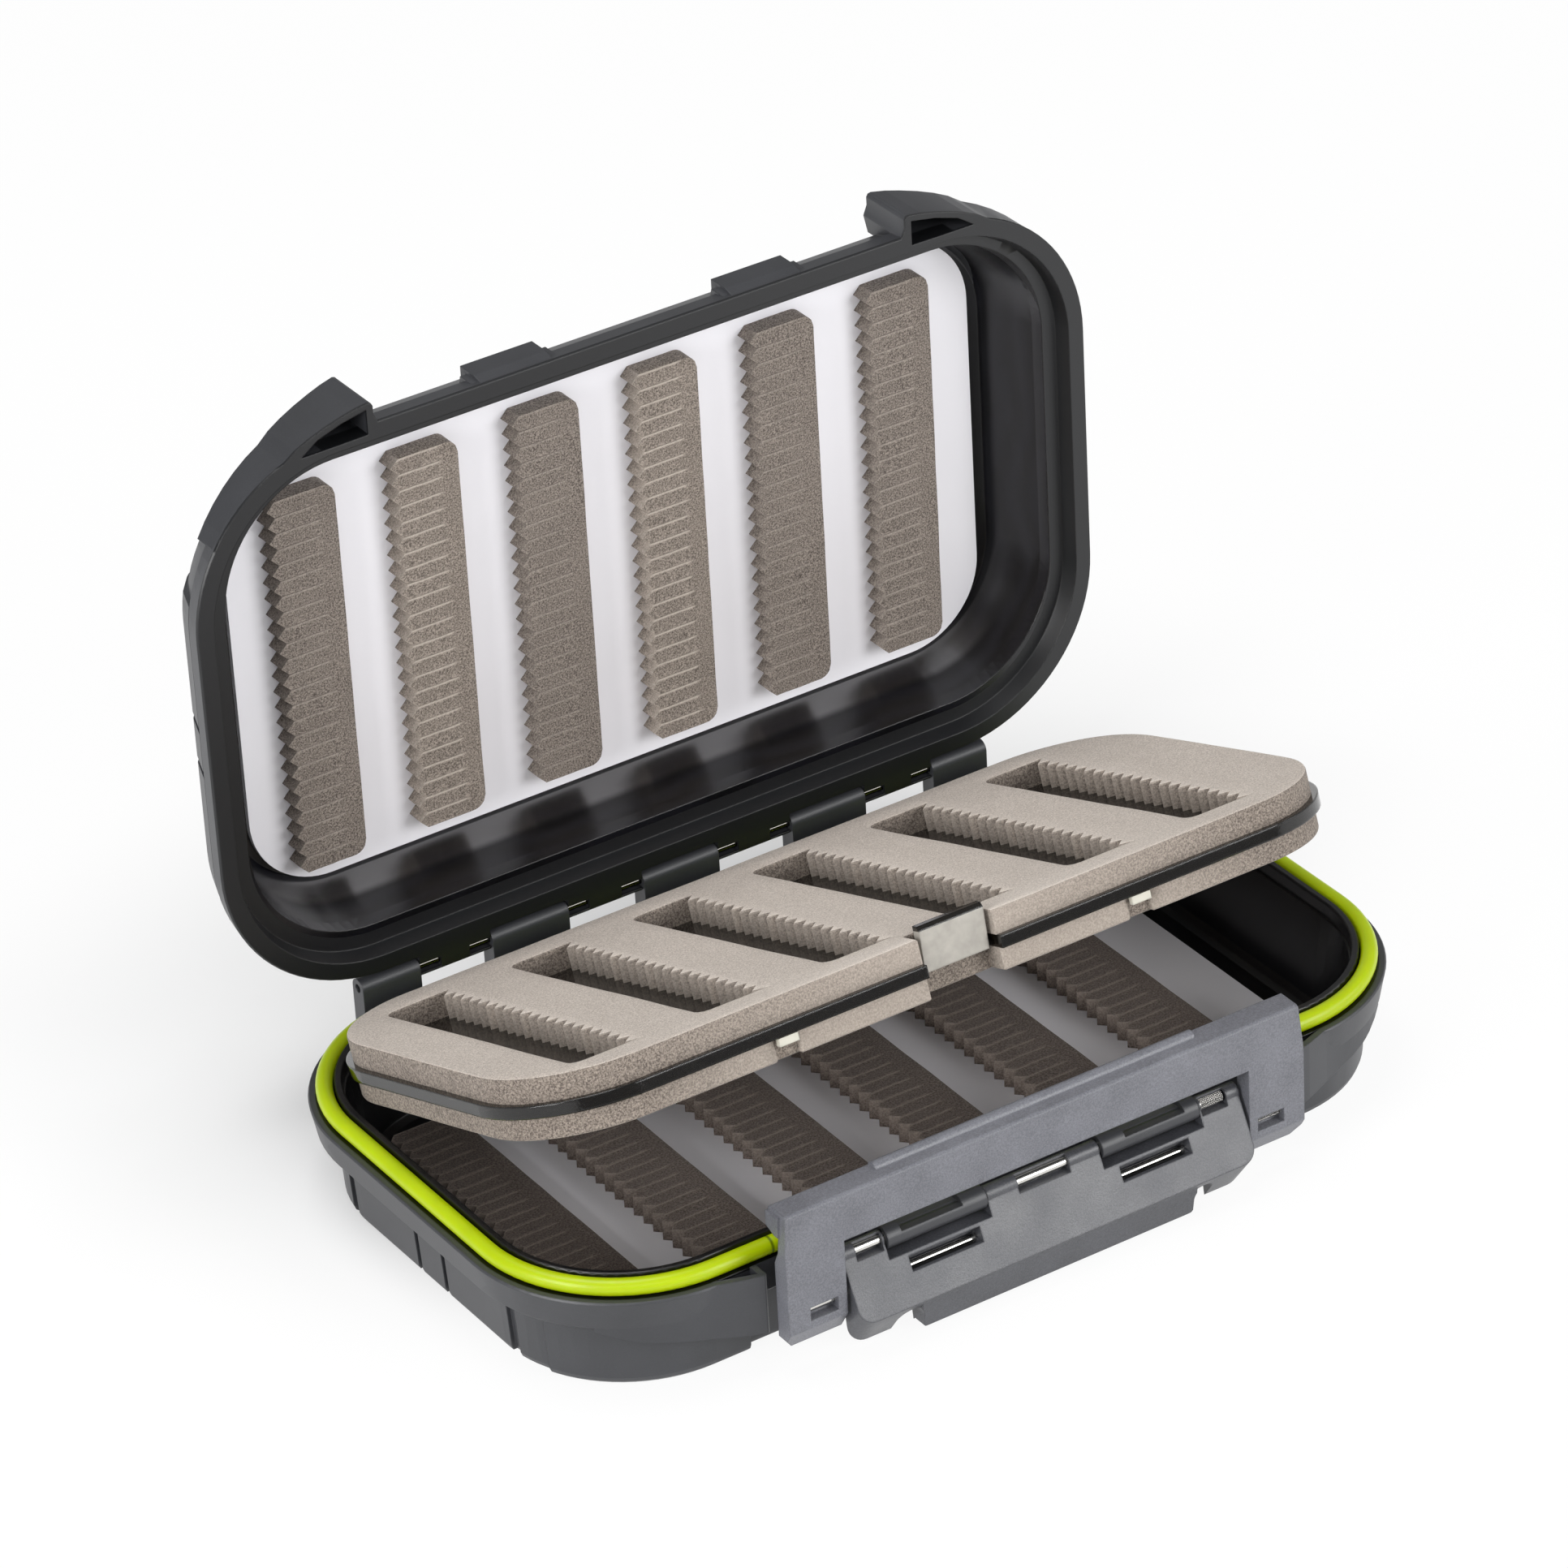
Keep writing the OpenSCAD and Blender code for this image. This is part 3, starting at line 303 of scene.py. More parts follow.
slate = ("#2a2b2e", "#3b3c40")
base_abs = moulded_abs("moulded_abs_base", slate, ("#060607", "#0c0c0e", 0.3, 0.0), lid=False)
lid_abs = moulded_abs("moulded_abs_lid", slate, ("#08080b", "#111116", 0.24, 1.0), lid=True)


def finish_cad(node, material):
    """Gives a CAD node its material."""
    piece = cad[node]
    piece.data.materials.clear()
    piece.data.materials.append(material)


# The CAD shells' round corners turn by 8.5 degrees from one flat to the next
corner_step = math.radians(10)
flat_enough = math.radians(0.4)


def even_corners(name, node, body, material):
    """A copy of a CAD node whose round corners, made of flats there, shade as one curve."""
    mesh = bmesh.new()
    mesh.from_mesh(cad[node].data)
    bmesh.ops.remove_doubles(mesh, verts=mesh.verts, dist=merge_distance)
    bmesh.ops.dissolve_limit(mesh, angle_limit=flat_enough, verts=mesh.verts, edges=mesh.edges)
    data = bpy.data.meshes.new(name)
    mesh.to_mesh(data)
    mesh.free()
    data.materials.clear()
    data.materials.append(material)
    for face in data.polygons:
        face.use_smooth = True
    data.set_sharp_from_angle(angle=corner_step)
    piece = bpy.data.objects.new(name, data)
    bpy.context.scene.collection.objects.link(piece)
    # Large flats keep their own direction, and only the small faces of a corner bend
    weighted = piece.modifiers.new("weighted_normals", "WEIGHTED_NORMAL")
    weighted.mode = "FACE_AREA_WITH_ANGLE"
    weighted.keep_sharp = True
    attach(piece, body)
    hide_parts(node)


even_corners("base_casing", "base_shell", "base", base_abs)
even_corners("lid_casing", "lid_shell", "lid", lid_abs)

# Gasket: an extruded silicone cord in lime green, 3.2 mm thick, pressed into the seat round the
# rim. Its skin is smooth and a little oily, and its two ends meet at the front left.
lime_silicone = new_material("extruded_lime_silicone")
tree = lime_silicone.node_tree
place = add_node(tree, "ShaderNodeTexCoord").outputs["Object"]
parts = add_node(tree, "ShaderNodeSeparateXYZ", vector=place)
clouds = add_node(tree, "ShaderNodeTexNoise", vector=place, scale=120.0, detail=3.0)
joint_x = -52.4 * MM
from_joint = add_node(tree, "ShaderNodeMath", {"operation": "SUBTRACT"},
                      i_0=parts.outputs["X"], i_1=joint_x)
from_joint = add_node(tree, "ShaderNodeMath", {"operation": "ABSOLUTE"}, i_0=from_joint.outputs[0])
at_joint = add_node(tree, "ShaderNodeMapRange",
                    i_0=from_joint.outputs[0], i_1=0.1 * MM, i_2=0.4 * MM, i_3=1.0, i_4=0.0)
in_front = add_node(tree, "ShaderNodeMath", {"operation": "LESS_THAN"}, i_0=parts.outputs["Y"], i_1=0.0)
at_joint = add_node(tree, "ShaderNodeMath", {"operation": "MULTIPLY"},
                    i_0=at_joint.outputs[0], i_1=in_front.outputs[0])
colour = add_node(tree, "ShaderNodeMix", {"data_type": "RGBA"},
                  i_0=clouds.outputs["Fac"], i_6=srgb("#9cb200"), i_7=srgb("#afc400"))
colour = add_node(tree, "ShaderNodeMix", {"data_type": "RGBA"},
                  i_0=at_joint.outputs[0], i_6=colour.outputs[2], i_7=srgb("#5f7400"))
height = add_node(tree, "ShaderNodeMath", {"operation": "MULTIPLY_ADD"},
                  i_0=at_joint.outputs[0], i_1=-3.0, i_2=clouds.outputs["Fac"])
skin = add_node(tree, "ShaderNodeBump", strength=0.15, distance=0.1 * MM, height=height.outputs[0])
shader = add_node(tree, "ShaderNodeBsdfPrincipled",
                  i_0=colour.outputs[2], roughness=0.34, normal=skin.outputs[0])
shader.inputs["IOR"].default_value = 1.41
shader.inputs["Subsurface Weight"].default_value = 0.15
shader.inputs["Subsurface Scale"].default_value = 0.5 * MM
add_node(tree, "ShaderNodeOutputMaterial", surface=shader.outputs[0])
finish_cad("gasket", lime_silicone)

# White plates: die-cut sheets of rolled white polystyrene, 1.2 mm thick, that the strips are
# stuck to. They have a soft gloss with the faint waves of the rollers.
white_styrene = new_material("rolled_white_styrene")
tree = white_styrene.node_tree
place = add_node(tree, "ShaderNodeTexCoord").outputs["Object"]
roll = add_node(tree, "ShaderNodeTexNoise", vector=place, scale=60.0, detail=2.0)
flatness = add_node(tree, "ShaderNodeBump", strength=0.1, distance=0.2 * MM, height=roll.outputs["Fac"])
colour = add_node(tree, "ShaderNodeMix", {"data_type": "RGBA"},
                  i_0=roll.outputs["Fac"], i_6=srgb("#ecebf0"), i_7=srgb("#f1f0f5"))
shader = add_node(tree, "ShaderNodeBsdfPrincipled",
                  i_0=colour.outputs[2], roughness=0.35, normal=flatness.outputs[0])
shader.inputs["IOR"].default_value = 1.59
add_node(tree, "ShaderNodeOutputMaterial", surface=shader.outputs[0])
finish_cad("base_plate", white_styrene)
finish_cad("lid_plate", white_styrene)


# Foam strips: six strips of 4 mm closed-cell EVA foam in the base and six in the lid, die cut
# with a row of pointed teeth. A slit that holds a hook runs on from the foot of each notch, and
# it lifts the foam beside it into two lips, which get a painted highlight.
def eva_foam(name, dark, light, highlight_colour, cell_mm):
    """Sliced closed-cell foam: matt, with cut cells that make a speckle of the size cell_mm."""
    material = new_material(name)
    tree = material.node_tree
    place = add_node(tree, "ShaderNodeTexCoord").outputs["Object"]
    cells = add_node(tree, "ShaderNodeTexNoise",
                     vector=place, scale=1000 / cell_mm, detail=2.0, roughness=0.75)
    clouds = add_node(tree, "ShaderNodeTexNoise", vector=place, scale=150.0, detail=2.0)
    speckle = add_node(tree, "ShaderNodeMapRange", i_0=cells.outputs["Fac"], i_1=0.36, i_2=0.66)
    mottle = add_node(tree, "ShaderNodeMath", {"operation": "MULTIPLY_ADD"},
                      i_0=clouds.outputs["Fac"], i_1=0.2, i_2=-0.1)
    speckle = add_node(tree, "ShaderNodeMath", {"operation": "ADD", "use_clamp": True},
                       i_0=speckle.outputs[0], i_1=mottle.outputs[0])
    colour = add_node(tree, "ShaderNodeMix", {"data_type": "RGBA"},
                      i_0=speckle.outputs[0], i_6=srgb(dark), i_7=srgb(light))
    # Marked lips and edges are mixed towards a pale colour: a painted highlight
    painted_highlights = add_node(tree, "ShaderNodeAttribute", {"attribute_name": "painted_edge_highlight"})
    colour = add_node(tree, "ShaderNodeMix", {"data_type": "RGBA"},
                      i_0=painted_highlights.outputs["Fac"], i_6=colour.outputs[2], i_7=srgb(highlight_colour))
    pores = add_node(tree, "ShaderNodeBump",
                     strength=0.6, distance=0.15 * MM, height=cells.outputs["Fac"])
    shader = add_node(tree, "ShaderNodeBsdfPrincipled",
                      i_0=colour.outputs[2], roughness=0.9, normal=pores.outputs[0])
    shader.inputs["IOR"].default_value = 1.4
    shader.inputs["Sheen Weight"].default_value = 0.1
    add_node(tree, "ShaderNodeOutputMaterial", surface=shader.outputs[0])
    return material


# The real cells are 0.2 mm wide and are drawn 0.3 to 0.36 mm wide so that they show
closed_eva = eva_foam("sliced_eva_lid_closed", "#463e39", "#988e85", "#aea49b", 0.32)
open_eva = eva_foam("sliced_eva_lid_open", "#4f4740", "#a2978d", "#c4b9ae", 0.32)
base_eva = eva_foam("sliced_eva_base", "#433a35", "#7a6e66", "#a89c92", 0.36)

strip_length = 76.8
strip_width = 14.0
strip_thick = 4.0
teeth = 24
tooth_pitch = strip_length / teeth
tooth_depth = 1.6
slit_end = 3.6
strip_corner = 2.6
edge_round = 0.3
slit_sink = 0.45
hand_wave = 0.12
# Painted highlight on the two outermost columns of points, along the top edges of the teeth
tooth_highlight = (0.55, 0.1)
# Distances from a slit at which rows of the strip's top lie, with the lip's height and the
# strength of its painted highlight there. The lip below a slit gets the stronger painted highlight.
slit_rows = (0.0, 0.08, 0.24, 0.6)
lip_rise = {0.0: 0.0, 0.08: 0.6, 0.24: 1.0, 0.6: 0.45}
lip_highlight = {0.0: 0.0, 0.08: 0.9, 0.24: 0.8, 0.6: 0.0}
columns = (-7.0, -6.7, -5.2, -3.6, -2.0, -0.4, 1.2, 2.6, 3.6, 4.1, 4.8, 5.5, 6.1, 6.6, 7.0)


def toothed_strip(name, node, body, material, to_world, lip, pale, seed):
    """One strip in millimetres, modelled flat and then set on its plate by to_world. The seed
    gives it waves of its own."""
    rows_per_tooth = 2 * len(slit_rows)
    row_offsets = [*slit_rows, tooth_pitch / 2, *[tooth_pitch - r for r in reversed(slit_rows[1:])]]
    count = teeth * rows_per_tooth
    mesh = bmesh.new()
    bmesh.ops.create_grid(mesh, x_segments=len(columns) - 1, y_segments=count, size=0.5)
    painted_edge_highlight = mesh.verts.layers.float.new("painted_edge_highlight")
    for vert in mesh.verts:
        column = round((vert.co.x + 0.5) * (len(columns) - 1))
        row = round((vert.co.y + 0.5) * count)
        offset = row_offsets[row % rows_per_tooth]
        along = (row // rows_per_tooth) * tooth_pitch + offset - strip_length / 2
        from_slit = round(min(offset, tooth_pitch - offset), 2)
        x = columns[column]
        notch = tooth_depth * (1 - from_slit / (tooth_pitch / 2))
        if column < 2:
            x += notch
            vert[painted_edge_highlight] = tooth_highlight[column] * pale
        elif column == 2:
            x += 0.3 * notch
        over = x - (strip_width / 2 - strip_corner)
        if over > 0:
            drop = strip_corner - math.sqrt(strip_corner**2 - min(over, strip_corner) ** 2)
            along *= 1 - drop / (strip_length / 2)
        height = 0.0
        if x < slit_end + 0.01 and 0 < row < count:
            fade = 1.0 if x < slit_end - 0.1 else 0.3
            height = fade * (-slit_sink if from_slit == 0 else lip * lip_rise.get(from_slit, 0.0))
            lit = 1.0 if offset > tooth_pitch / 2 else 0.15
            vert[painted_edge_highlight] = max(vert[painted_edge_highlight], lit * fade * pale * lip_highlight.get(from_slit, 0.0))
        wave = noise.noise(Vector((x * 0.25, along * 0.12, seed * 7.3))) * hand_wave
        along += 0.05 * noise.noise(Vector((x * 0.4, along * 0.3, seed)))
        vert.co = Vector((x, along, strip_thick + height + wave))
    rim = [e for e in mesh.edges if e.is_boundary]
    skirt = bmesh.ops.extrude_edge_only(mesh, edges=rim)["geom"]
    for vert in [g for g in skirt if isinstance(g, bmesh.types.BMVert)]:
        vert.co.z = 0.0
        vert[painted_edge_highlight] = 0.0
    bmesh.ops.contextual_create(mesh, geom=[g for g in skirt if isinstance(g, bmesh.types.BMEdge)])
    bmesh.ops.recalc_face_normals(mesh, faces=mesh.faces)
    mesh.normal_update()
    top_rim = [e for e in mesh.edges if len(e.link_faces) == 2
               and e.calc_face_angle(0) > 0.9 and min(v.co.z for v in e.verts) > strip_thick - 1.2]
    bmesh.ops.bevel(mesh, geom=top_rim, offset=edge_round, segments=2, profile=0.5, affect="EDGES",
                    clamp_overlap=True, material=-1)
    bmesh.ops.scale(mesh, vec=(MM, MM, MM), verts=mesh.verts)
    bmesh.ops.transform(mesh, matrix=to_world, verts=mesh.verts)
    data = bpy.data.meshes.new(name)
    mesh.to_mesh(data)
    mesh.free()
    data.materials.append(material)
    for face in data.polygons:
        face.use_smooth = True
    data.set_sharp_from_angle(angle=math.radians(50))
    piece = bpy.data.objects.new(name, data)
    bpy.context.scene.collection.objects.link(piece)
    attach(piece, body)
    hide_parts(node)
    return piece


# Slits that have been used stand open and get a stronger painted highlight, and the others are
# nearly closed. For each strip of the lid, this gives how high its lips stand and how strong their
# painted highlight is.
slit_lips = (0.05, 0.13, 0.03, 0.13, 0.03, 0.08)
slit_highlights = (0.45, 0.75, 0.35, 0.75, 0.35, 0.5)
used_highlight = 0.7
base_lip = 0.1
base_highlight = 0.6
for number in range(1, 7):
    low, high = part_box(f"base_strip_{number}")
    middle = (low + high) / 2
    lies = Matrix.Translation((middle.x, middle.y, low.z))
    toothed_strip(f"base_foam_{number}", f"base_strip_{number}", "base", base_eva, lies,
                  base_lip, base_highlight, number)
    low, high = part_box(f"lid_strip_{number}")
    middle = (low + high) / 2
    stands = Matrix.Translation((middle.x, high.y, middle.z)) @ Matrix.Rotation(math.radians(90), 4, "X")
    lid_eva = open_eva if slit_highlights[number - 1] > used_highlight else closed_eva
    toothed_strip(f"lid_foam_{number}", f"lid_strip_{number}", "lid", lid_eva, stands,
                  slit_lips[number - 1], slit_highlights[number - 1], number + 10)

# Middle leaf: a clear smoked polycarbonate plate with a frosted finger tab and two clear snap
# nubs, faced on both sides with pale EVA foam that has six toothed windows.
leaf_angle = math.radians(19.8)
leaf_pivot = Vector((0, 47.3 * MM, 22.3 * MM))
leaf_turn = Matrix.Translation(leaf_pivot) @ Matrix.Rotation(-leaf_angle, 4, "X")
# Places measured in the leaf's own flat position, from its pivot
tab_half_w = 7.0
tab_root = -86.8
tab_frost_top = 6.9
plate_low = -1.1
nub_back = -80.0

smoked_clear = new_material("smoked_polycarbonate")
tree = smoked_clear.node_tree
place = add_node(tree, "ShaderNodeTexCoord").outputs["Object"]
flat_place = add_node(tree, "ShaderNodeMapping", {"vector_type": "TEXTURE"}, i_0=place,
                      i_1=leaf_pivot, i_2=(-leaf_angle, 0, 0), i_3=(MM, MM, MM)).outputs[0]
parts = add_node(tree, "ShaderNodeSeparateXYZ", vector=flat_place)
sideways = add_node(tree, "ShaderNodeMath", {"operation": "ABSOLUTE"}, i_0=parts.outputs["X"])
zones = []
for limits in (
    ((sideways.outputs[0], tab_half_w), (parts.outputs["Y"], tab_root),
     (parts.outputs["Z"], tab_frost_top)),
    ((parts.outputs["Y"], nub_back), (parts.outputs["Z"], plate_low)),
):
    zone = 1.0
    for value, limit in limits:
        below = add_node(tree, "ShaderNodeMath", {"operation": "LESS_THAN"}, i_0=value, i_1=limit)
        zone = add_node(tree, "ShaderNodeMath", {"operation": "MULTIPLY"},
                        i_0=zone, i_1=below.outputs[0]).outputs[0]
    zones.append(zone)
frosted, clear = zones
# Fine wiping scratches, 0.4 mm apart, run slantwise over the smoked sheet
scratched = add_node(tree, "ShaderNodeMapping", i_0=flat_place, i_2=(0, 0, 0.6), i_3=(2.4, 0.12, 1.0))
wiping = add_node(tree, "ShaderNodeTexNoise", vector=scratched.outputs[0], scale=1.0, detail=2.0)
smoke = add_node(tree, "ShaderNodeMix", {"data_type": "RGBA"},
                 i_0=wiping.outputs["Fac"], i_6=srgb("#241e18"), i_7=srgb("#3a332a"))
frost_cloud = add_node(tree, "ShaderNodeTexNoise", vector=flat_place, scale=0.35, detail=3.0)
frost = add_node(tree, "ShaderNodeMix", {"data_type": "RGBA"},
                 i_0=frost_cloud.outputs["Fac"], i_6=srgb("#85817a"), i_7=srgb("#bcb7ae"))
colour = add_node(tree, "ShaderNodeMix", {"data_type": "RGBA"},
                  i_0=frosted, i_6=smoke.outputs[2], i_7=frost.outputs[2])
colour = add_node(tree, "ShaderNodeMix", {"data_type": "RGBA"},
                  i_0=clear, i_6=colour.outputs[2], i_7=srgb("#f2efe2"))
through = add_node(tree, "ShaderNodeMapRange", i_0=frosted, i_3=0.92, i_4=0.0)
through = add_node(tree, "ShaderNodeMath", {"operation": "MULTIPLY_ADD"},
                   i_0=clear, i_1=-0.5, i_2=through.outputs[0])
rough = add_node(tree, "ShaderNodeMapRange", i_0=frosted, i_3=0.07, i_4=0.4)
edges = add_node(tree, "ShaderNodeBevel", {"samples": 4}, radius=0.5 * MM)
ripple = add_node(tree, "ShaderNodeBump", strength=0.12, distance=0.1 * MM,
                  height=wiping.outputs["Fac"], normal=edges.outputs[0])
shader = add_node(tree, "ShaderNodeBsdfPrincipled", i_0=colour.outputs[2], roughness=rough.outputs[0],
                  transmission_weight=through.outputs[0], normal=ripple.outputs[0])
shader.inputs["IOR"].default_value = 1.58
add_node(tree, "ShaderNodeOutputMaterial", surface=shader.outputs[0])
finish_cad("leaf_plate", smoked_clear)

# The sliced faces have small closed cells; the die-cut edges show open, coarser ones and are
# painted darker, as painted shade of the upright sides
skin_eva = eva_foam("sliced_eva_leaf_face", "#a0958b", "#d5cbc1", "#ddd4ca", 0.3)
painted_shade_edge_eva = eva_foam("die_cut_eva_leaf_edge_painted_shade", "#544b45", "#9c9186", "#bfb4a9", 0.36)
# The pads are cut into a net of points, 4.3 by 4.4 mm, that takes their slight waves
net_x = 4.3 * MM
net_y = 4.4 * MM
net_reach = 20
pad_wave = 0.1 * MM
for side, name, node in (
    (1, "leaf_foam_top", "leaf_pad_top"),
    (-1, "leaf_foam_bottom", "leaf_pad_bottom"),
):
    mesh = bmesh.new()
    mesh.from_mesh(cad[node].data)
    bmesh.ops.remove_doubles(mesh, verts=mesh.verts, dist=merge_distance)
    bmesh.ops.transform(mesh, matrix=leaf_turn.inverted(), verts=mesh.verts)
    bmesh.ops.dissolve_limit(mesh, angle_limit=math.radians(1), verts=mesh.verts, edges=mesh.edges)
    bmesh.ops.recalc_face_normals(mesh, faces=mesh.faces)
    mesh.normal_update()
    painted_edge_highlight = mesh.verts.layers.float.new("painted_edge_highlight")
    # Convex upright edges of the pads, such as the windows' teeth, get a painted highlight
    for edge in mesh.edges:
        ends = edge.verts
        upright = (ends[0].co - ends[1].co).xy.length < 0.01 * MM
        if upright and len(edge.link_faces) == 2 and edge.calc_face_angle_signed(0) > 0.4:
            for vert in ends:
                vert[painted_edge_highlight] = 0.45
    for face in mesh.faces:
        face.material_index = 0 if abs(face.normal.z) > 0.9 else 1
    outer_z = max(side * v.co.z for v in mesh.verts)
    rims = [e for e in mesh.edges if len(e.link_faces) == 2 and e.calc_face_angle(0) > 0.9
            and all(side * v.co.z > outer_z - 0.05 * MM for v in e.verts)]
    bmesh.ops.bevel(mesh, geom=rims, offset=0.35 * MM, segments=2, profile=0.5, affect="EDGES",
                    clamp_overlap=False, material=-1)
    for step in range(-net_reach, net_reach + 1):
        bmesh.ops.bisect_plane(mesh, geom=[*mesh.verts, *mesh.edges, *mesh.faces], dist=0.001 * MM,
                               plane_co=(step * net_x, 0, 0), plane_no=(1, 0, 0))
    for step in range(1, net_reach + 1):
        bmesh.ops.bisect_plane(mesh, geom=[*mesh.verts, *mesh.edges, *mesh.faces], dist=0.001 * MM,
                               plane_co=(0, -step * net_y, 0), plane_no=(0, 1, 0))
    for vert in mesh.verts:
        if side * vert.co.z > outer_z - 0.5 * MM:
            wave = noise.noise(Vector((vert.co.x * 60, vert.co.y * 60, side * 3.0)))
            vert.co.z += side * pad_wave * wave
    bmesh.ops.transform(mesh, matrix=leaf_turn, verts=mesh.verts)
    bmesh.ops.triangulate(mesh, faces=[f for f in mesh.faces if len(f.verts) > 4])
    data = bpy.data.meshes.new(name)
    mesh.to_mesh(data)
    mesh.free()
    data.materials.append(skin_eva)
    data.materials.append(painted_shade_edge_eva)
    for face in data.polygons:
        face.use_smooth = True
    data.set_sharp_from_angle(angle=math.radians(35))
    piece = bpy.data.objects.new(name, data)
    bpy.context.scene.collection.objects.link(piece)
    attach(piece, "leaf")
    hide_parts(node)


# Pins: drawn stainless pins, polished, on which the lid, the leaf and the two latch links turn.
# The two latch pins have a knurled right end that grips in its bore.
grooves_round = 10
groove_pitch = 0.7 * MM


def drawn_stainless(name, tone="#d8d6d1", axis=None, knurl_from=0.0):
    """Polished steel with faint drawing lines. From knurl_from on, a pin is knurled about its
    axis; both are in millimetres."""
    material = new_material(name)
    tree = material.node_tree
    place = add_node(tree, "ShaderNodeTexCoord").outputs["Object"]
    stretched = add_node(tree, "ShaderNodeMapping", i_0=place, i_3=(30.0, 2500.0, 2500.0))
    drawn = add_node(tree, "ShaderNodeTexNoise", vector=stretched.outputs[0], scale=1.0, detail=1.0)
    rough = add_node(tree, "ShaderNodeMapRange", i_0=drawn.outputs["Fac"], i_3=0.08, i_4=0.2)
    lines = add_node(tree, "ShaderNodeBump",
                     strength=0.02, distance=0.02 * MM, height=drawn.outputs["Fac"])
    normal = lines.outputs[0]
    if axis:
        parts = add_node(tree, "ShaderNodeSeparateXYZ", vector=place)
        from_y = add_node(tree, "ShaderNodeMath", {"operation": "SUBTRACT"},
                          i_0=parts.outputs["Y"], i_1=axis[0] * MM)
        from_z = add_node(tree, "ShaderNodeMath", {"operation": "SUBTRACT"},
                          i_0=parts.outputs["Z"], i_1=axis[1] * MM)
        around = add_node(tree, "ShaderNodeMath", {"operation": "ARCTAN2"},
                          i_0=from_y.outputs[0], i_1=from_z.outputs[0])
        # Two sets of grooves lean both ways and cross
        grooves = []
        for lean in (1.0, -1.0):
            turned = add_node(tree, "ShaderNodeMath", {"operation": "MULTIPLY"},
                              i_0=around.outputs[0], i_1=grooves_round * lean)
            phase = add_node(tree, "ShaderNodeMath", {"operation": "MULTIPLY_ADD"},
                             i_0=parts.outputs["X"], i_1=2 * math.pi / groove_pitch,
                             i_2=turned.outputs[0])
            grooves.append(add_node(tree, "ShaderNodeMath", {"operation": "SINE"},
                                    i_0=phase.outputs[0]).outputs[0])
        knurl = add_node(tree, "ShaderNodeMath", {"operation": "MULTIPLY"},
                         i_0=grooves[0], i_1=grooves[1])
        at_end = add_node(tree, "ShaderNodeMath", {"operation": "GREATER_THAN"},
                          i_0=parts.outputs["X"], i_1=knurl_from * MM)
        knurl = add_node(tree, "ShaderNodeMath", {"operation": "MULTIPLY"},
                         i_0=knurl.outputs[0], i_1=at_end.outputs[0])
        normal = add_node(tree, "ShaderNodeBump", strength=1.0, distance=0.12 * MM,
                          height=knurl.outputs[0], normal=normal).outputs[0]
    shader = add_node(tree, "ShaderNodeBsdfPrincipled",
                      i_0=srgb(tone), roughness=rough.outputs[0], normal=normal)
    shader.inputs["Metallic"].default_value = 1.0
    add_node(tree, "ShaderNodeOutputMaterial", surface=shader.outputs[0])
    return material


# The hinge pin and the leaf pins get a dark steel tone, a painted shade of the gap between the knuckles
painted_shade_pin = drawn_stainless("drawn_stainless_pin_painted_shade", tone="#5b5955")
finish_cad("hinge_pin", painted_shade_pin)
finish_cad("leaf_pins", painted_shade_pin)
lever_axis = (-58.8, 19.0)
bail_axis = (-60.3, 12.2)
lever_pin_steel = drawn_stainless("knurled_lever_pin", axis=lever_axis, knurl_from=34.5)
bail_pin_steel = drawn_stainless("knurled_bail_pin", axis=bail_axis, knurl_from=40.0)
finish_cad("lever_pin", lever_pin_steel)
finish_cad("bail_pin", bail_pin_steel)

# Latch: lever and bail are moulded ABS, a shade lighter than the case. Their spark texture is
# coarse enough to sparkle, and the gloss drifts in clouds as the melt cooled.
def sparkling_abs(name, dark, light):
    """Spark-textured ABS with a broad sheen and edges broken by a radius of 0.4 mm."""
    material = new_material(name)
    tree = material.node_tree
    place = add_node(tree, "ShaderNodeTexCoord").outputs["Object"]
    pits = add_node(tree, "ShaderNodeTexNoise", vector=place, scale=3200.0, detail=2.0, roughness=0.7)
    clouds = add_node(tree, "ShaderNodeTexNoise", vector=place, scale=110.0, detail=3.0)
    sparkle = add_node(tree, "ShaderNodeMapRange",
                       i_0=pits.outputs["Fac"], i_1=0.36, i_2=0.66, i_3=-0.35, i_4=0.35)
    sparkle = add_node(tree, "ShaderNodeMath", {"operation": "ADD", "use_clamp": True},
                       i_0=sparkle.outputs[0], i_1=clouds.outputs["Fac"])
    colour = add_node(tree, "ShaderNodeMix", {"data_type": "RGBA"},
                      i_0=sparkle.outputs[0], i_6=srgb(dark), i_7=srgb(light))
    gloss = add_node(tree, "ShaderNodeMapRange",
                     i_0=clouds.outputs["Fac"], i_1=0.3, i_2=0.7, i_3=0.32, i_4=0.46)
    edges = add_node(tree, "ShaderNodeBevel", {"samples": 4}, radius=0.45 * MM)
    grain = add_node(tree, "ShaderNodeBump", strength=0.7, distance=0.05 * MM,
                     height=pits.outputs["Fac"], normal=edges.outputs[0])
    shader = add_node(tree, "ShaderNodeBsdfPrincipled",
                      i_0=colour.outputs[2], roughness=gloss.outputs[0], normal=grain.outputs[0])
    shader.inputs["IOR"].default_value = 1.6
    add_node(tree, "ShaderNodeOutputMaterial", surface=shader.outputs[0])
    return material


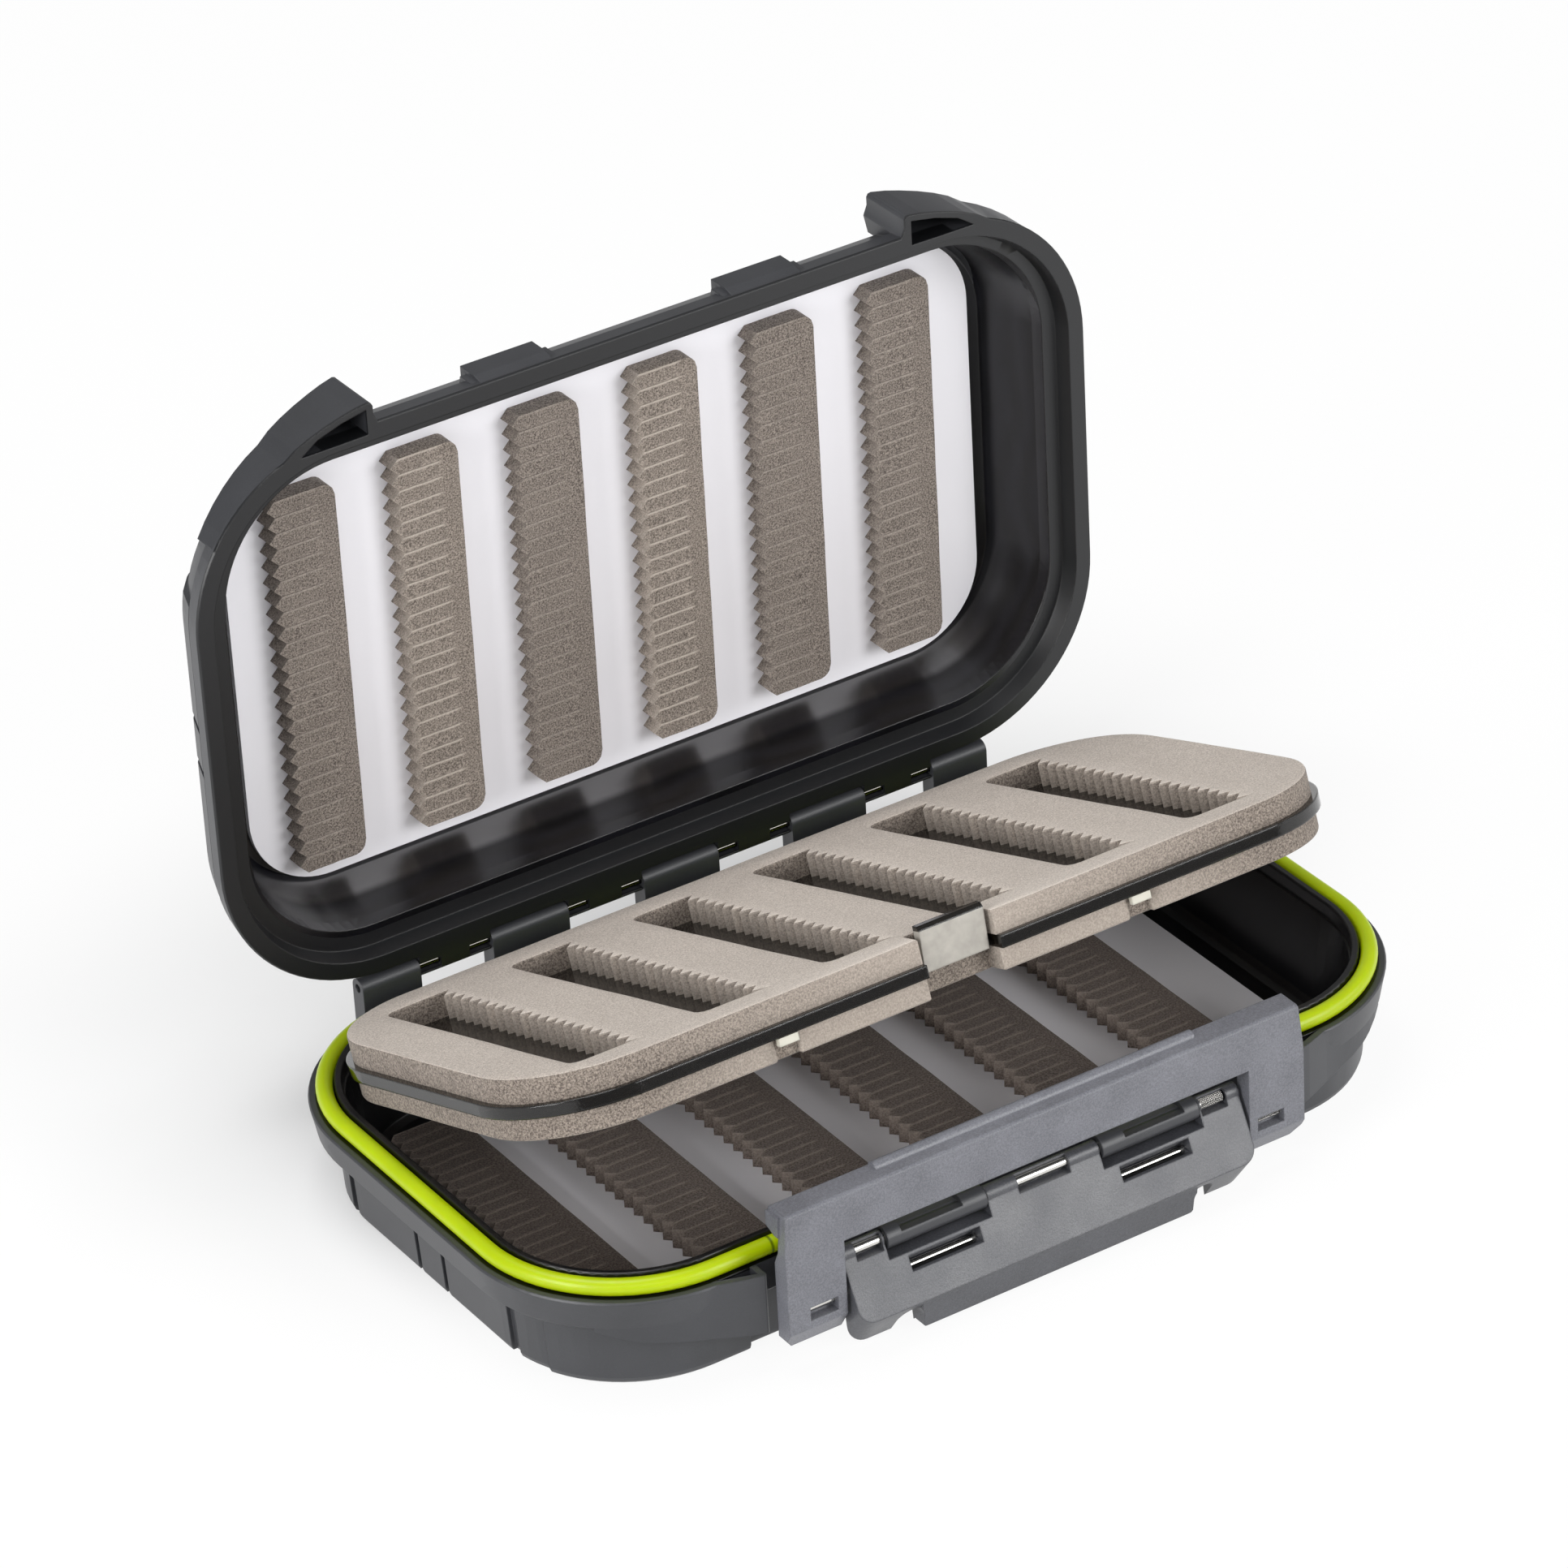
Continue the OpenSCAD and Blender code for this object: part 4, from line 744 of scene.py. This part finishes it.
lever_abs = sparkling_abs("moulded_abs_lever", "#36373b", "#505156")
# The bail is painted lighter than the lever, a painted sheen for the light on its face
bail_abs_painted_sheen = sparkling_abs("moulded_abs_bail_painted_sheen", "#54555b", "#74757c")
finish_cad("latch_bail", bail_abs_painted_sheen)

# The lever's two lower windows are undercut down to the bail's pin, which shows in them. The
# cuts are measured in millimetres from the lever's pin.
lever_pin_place = Vector((0, lever_axis[0] * MM, lever_axis[1] * MM))
cut_depth = (-3.7, -0.6)
cut_height = (-7.75, -5.4)
cut_span = (15.3, 29.7)
cutter_mesh = bmesh.new()
for side in (-1, 1):
    block = bmesh.ops.create_cube(cutter_mesh, size=1.0)["verts"]
    size = Vector((cut_span[1] - cut_span[0], cut_depth[1] - cut_depth[0],
                   cut_height[1] - cut_height[0]))
    middle = Vector((side * sum(cut_span) / 2, sum(cut_depth) / 2, sum(cut_height) / 2)) * MM
    bmesh.ops.scale(cutter_mesh, vec=size * MM, verts=block)
    bmesh.ops.translate(cutter_mesh, vec=middle + lever_pin_place, verts=block)
cutter_data = bpy.data.meshes.new("window_cutter")
cutter_mesh.to_mesh(cutter_data)
cutter_mesh.free()
cutter = bpy.data.objects.new("window_cutter", cutter_data)
bpy.context.scene.collection.objects.link(cutter)

mesh = bmesh.new()
mesh.from_mesh(cad["latch_lever"].data)
bmesh.ops.remove_doubles(mesh, verts=mesh.verts, dist=merge_distance)
data = bpy.data.meshes.new("lever_body")
mesh.to_mesh(data)
mesh.free()
lever_body = bpy.data.objects.new("lever_body", data)
bpy.context.scene.collection.objects.link(lever_body)
undercut = lever_body.modifiers.new("undercut", "BOOLEAN")
undercut.operation = "DIFFERENCE"
undercut.solver = "EXACT"
undercut.object = cutter
bpy.context.view_layer.update()
evaluated = lever_body.evaluated_get(bpy.context.evaluated_depsgraph_get())
cut_data = bpy.data.meshes.new_from_object(evaluated)
lever_body.modifiers.clear()
lever_body.data = cut_data
bpy.data.objects.remove(cutter)
cut_data.materials.clear()
cut_data.materials.append(lever_abs)
for face in cut_data.polygons:
    face.use_smooth = False
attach(lever_body, "lever")
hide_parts("latch_lever")
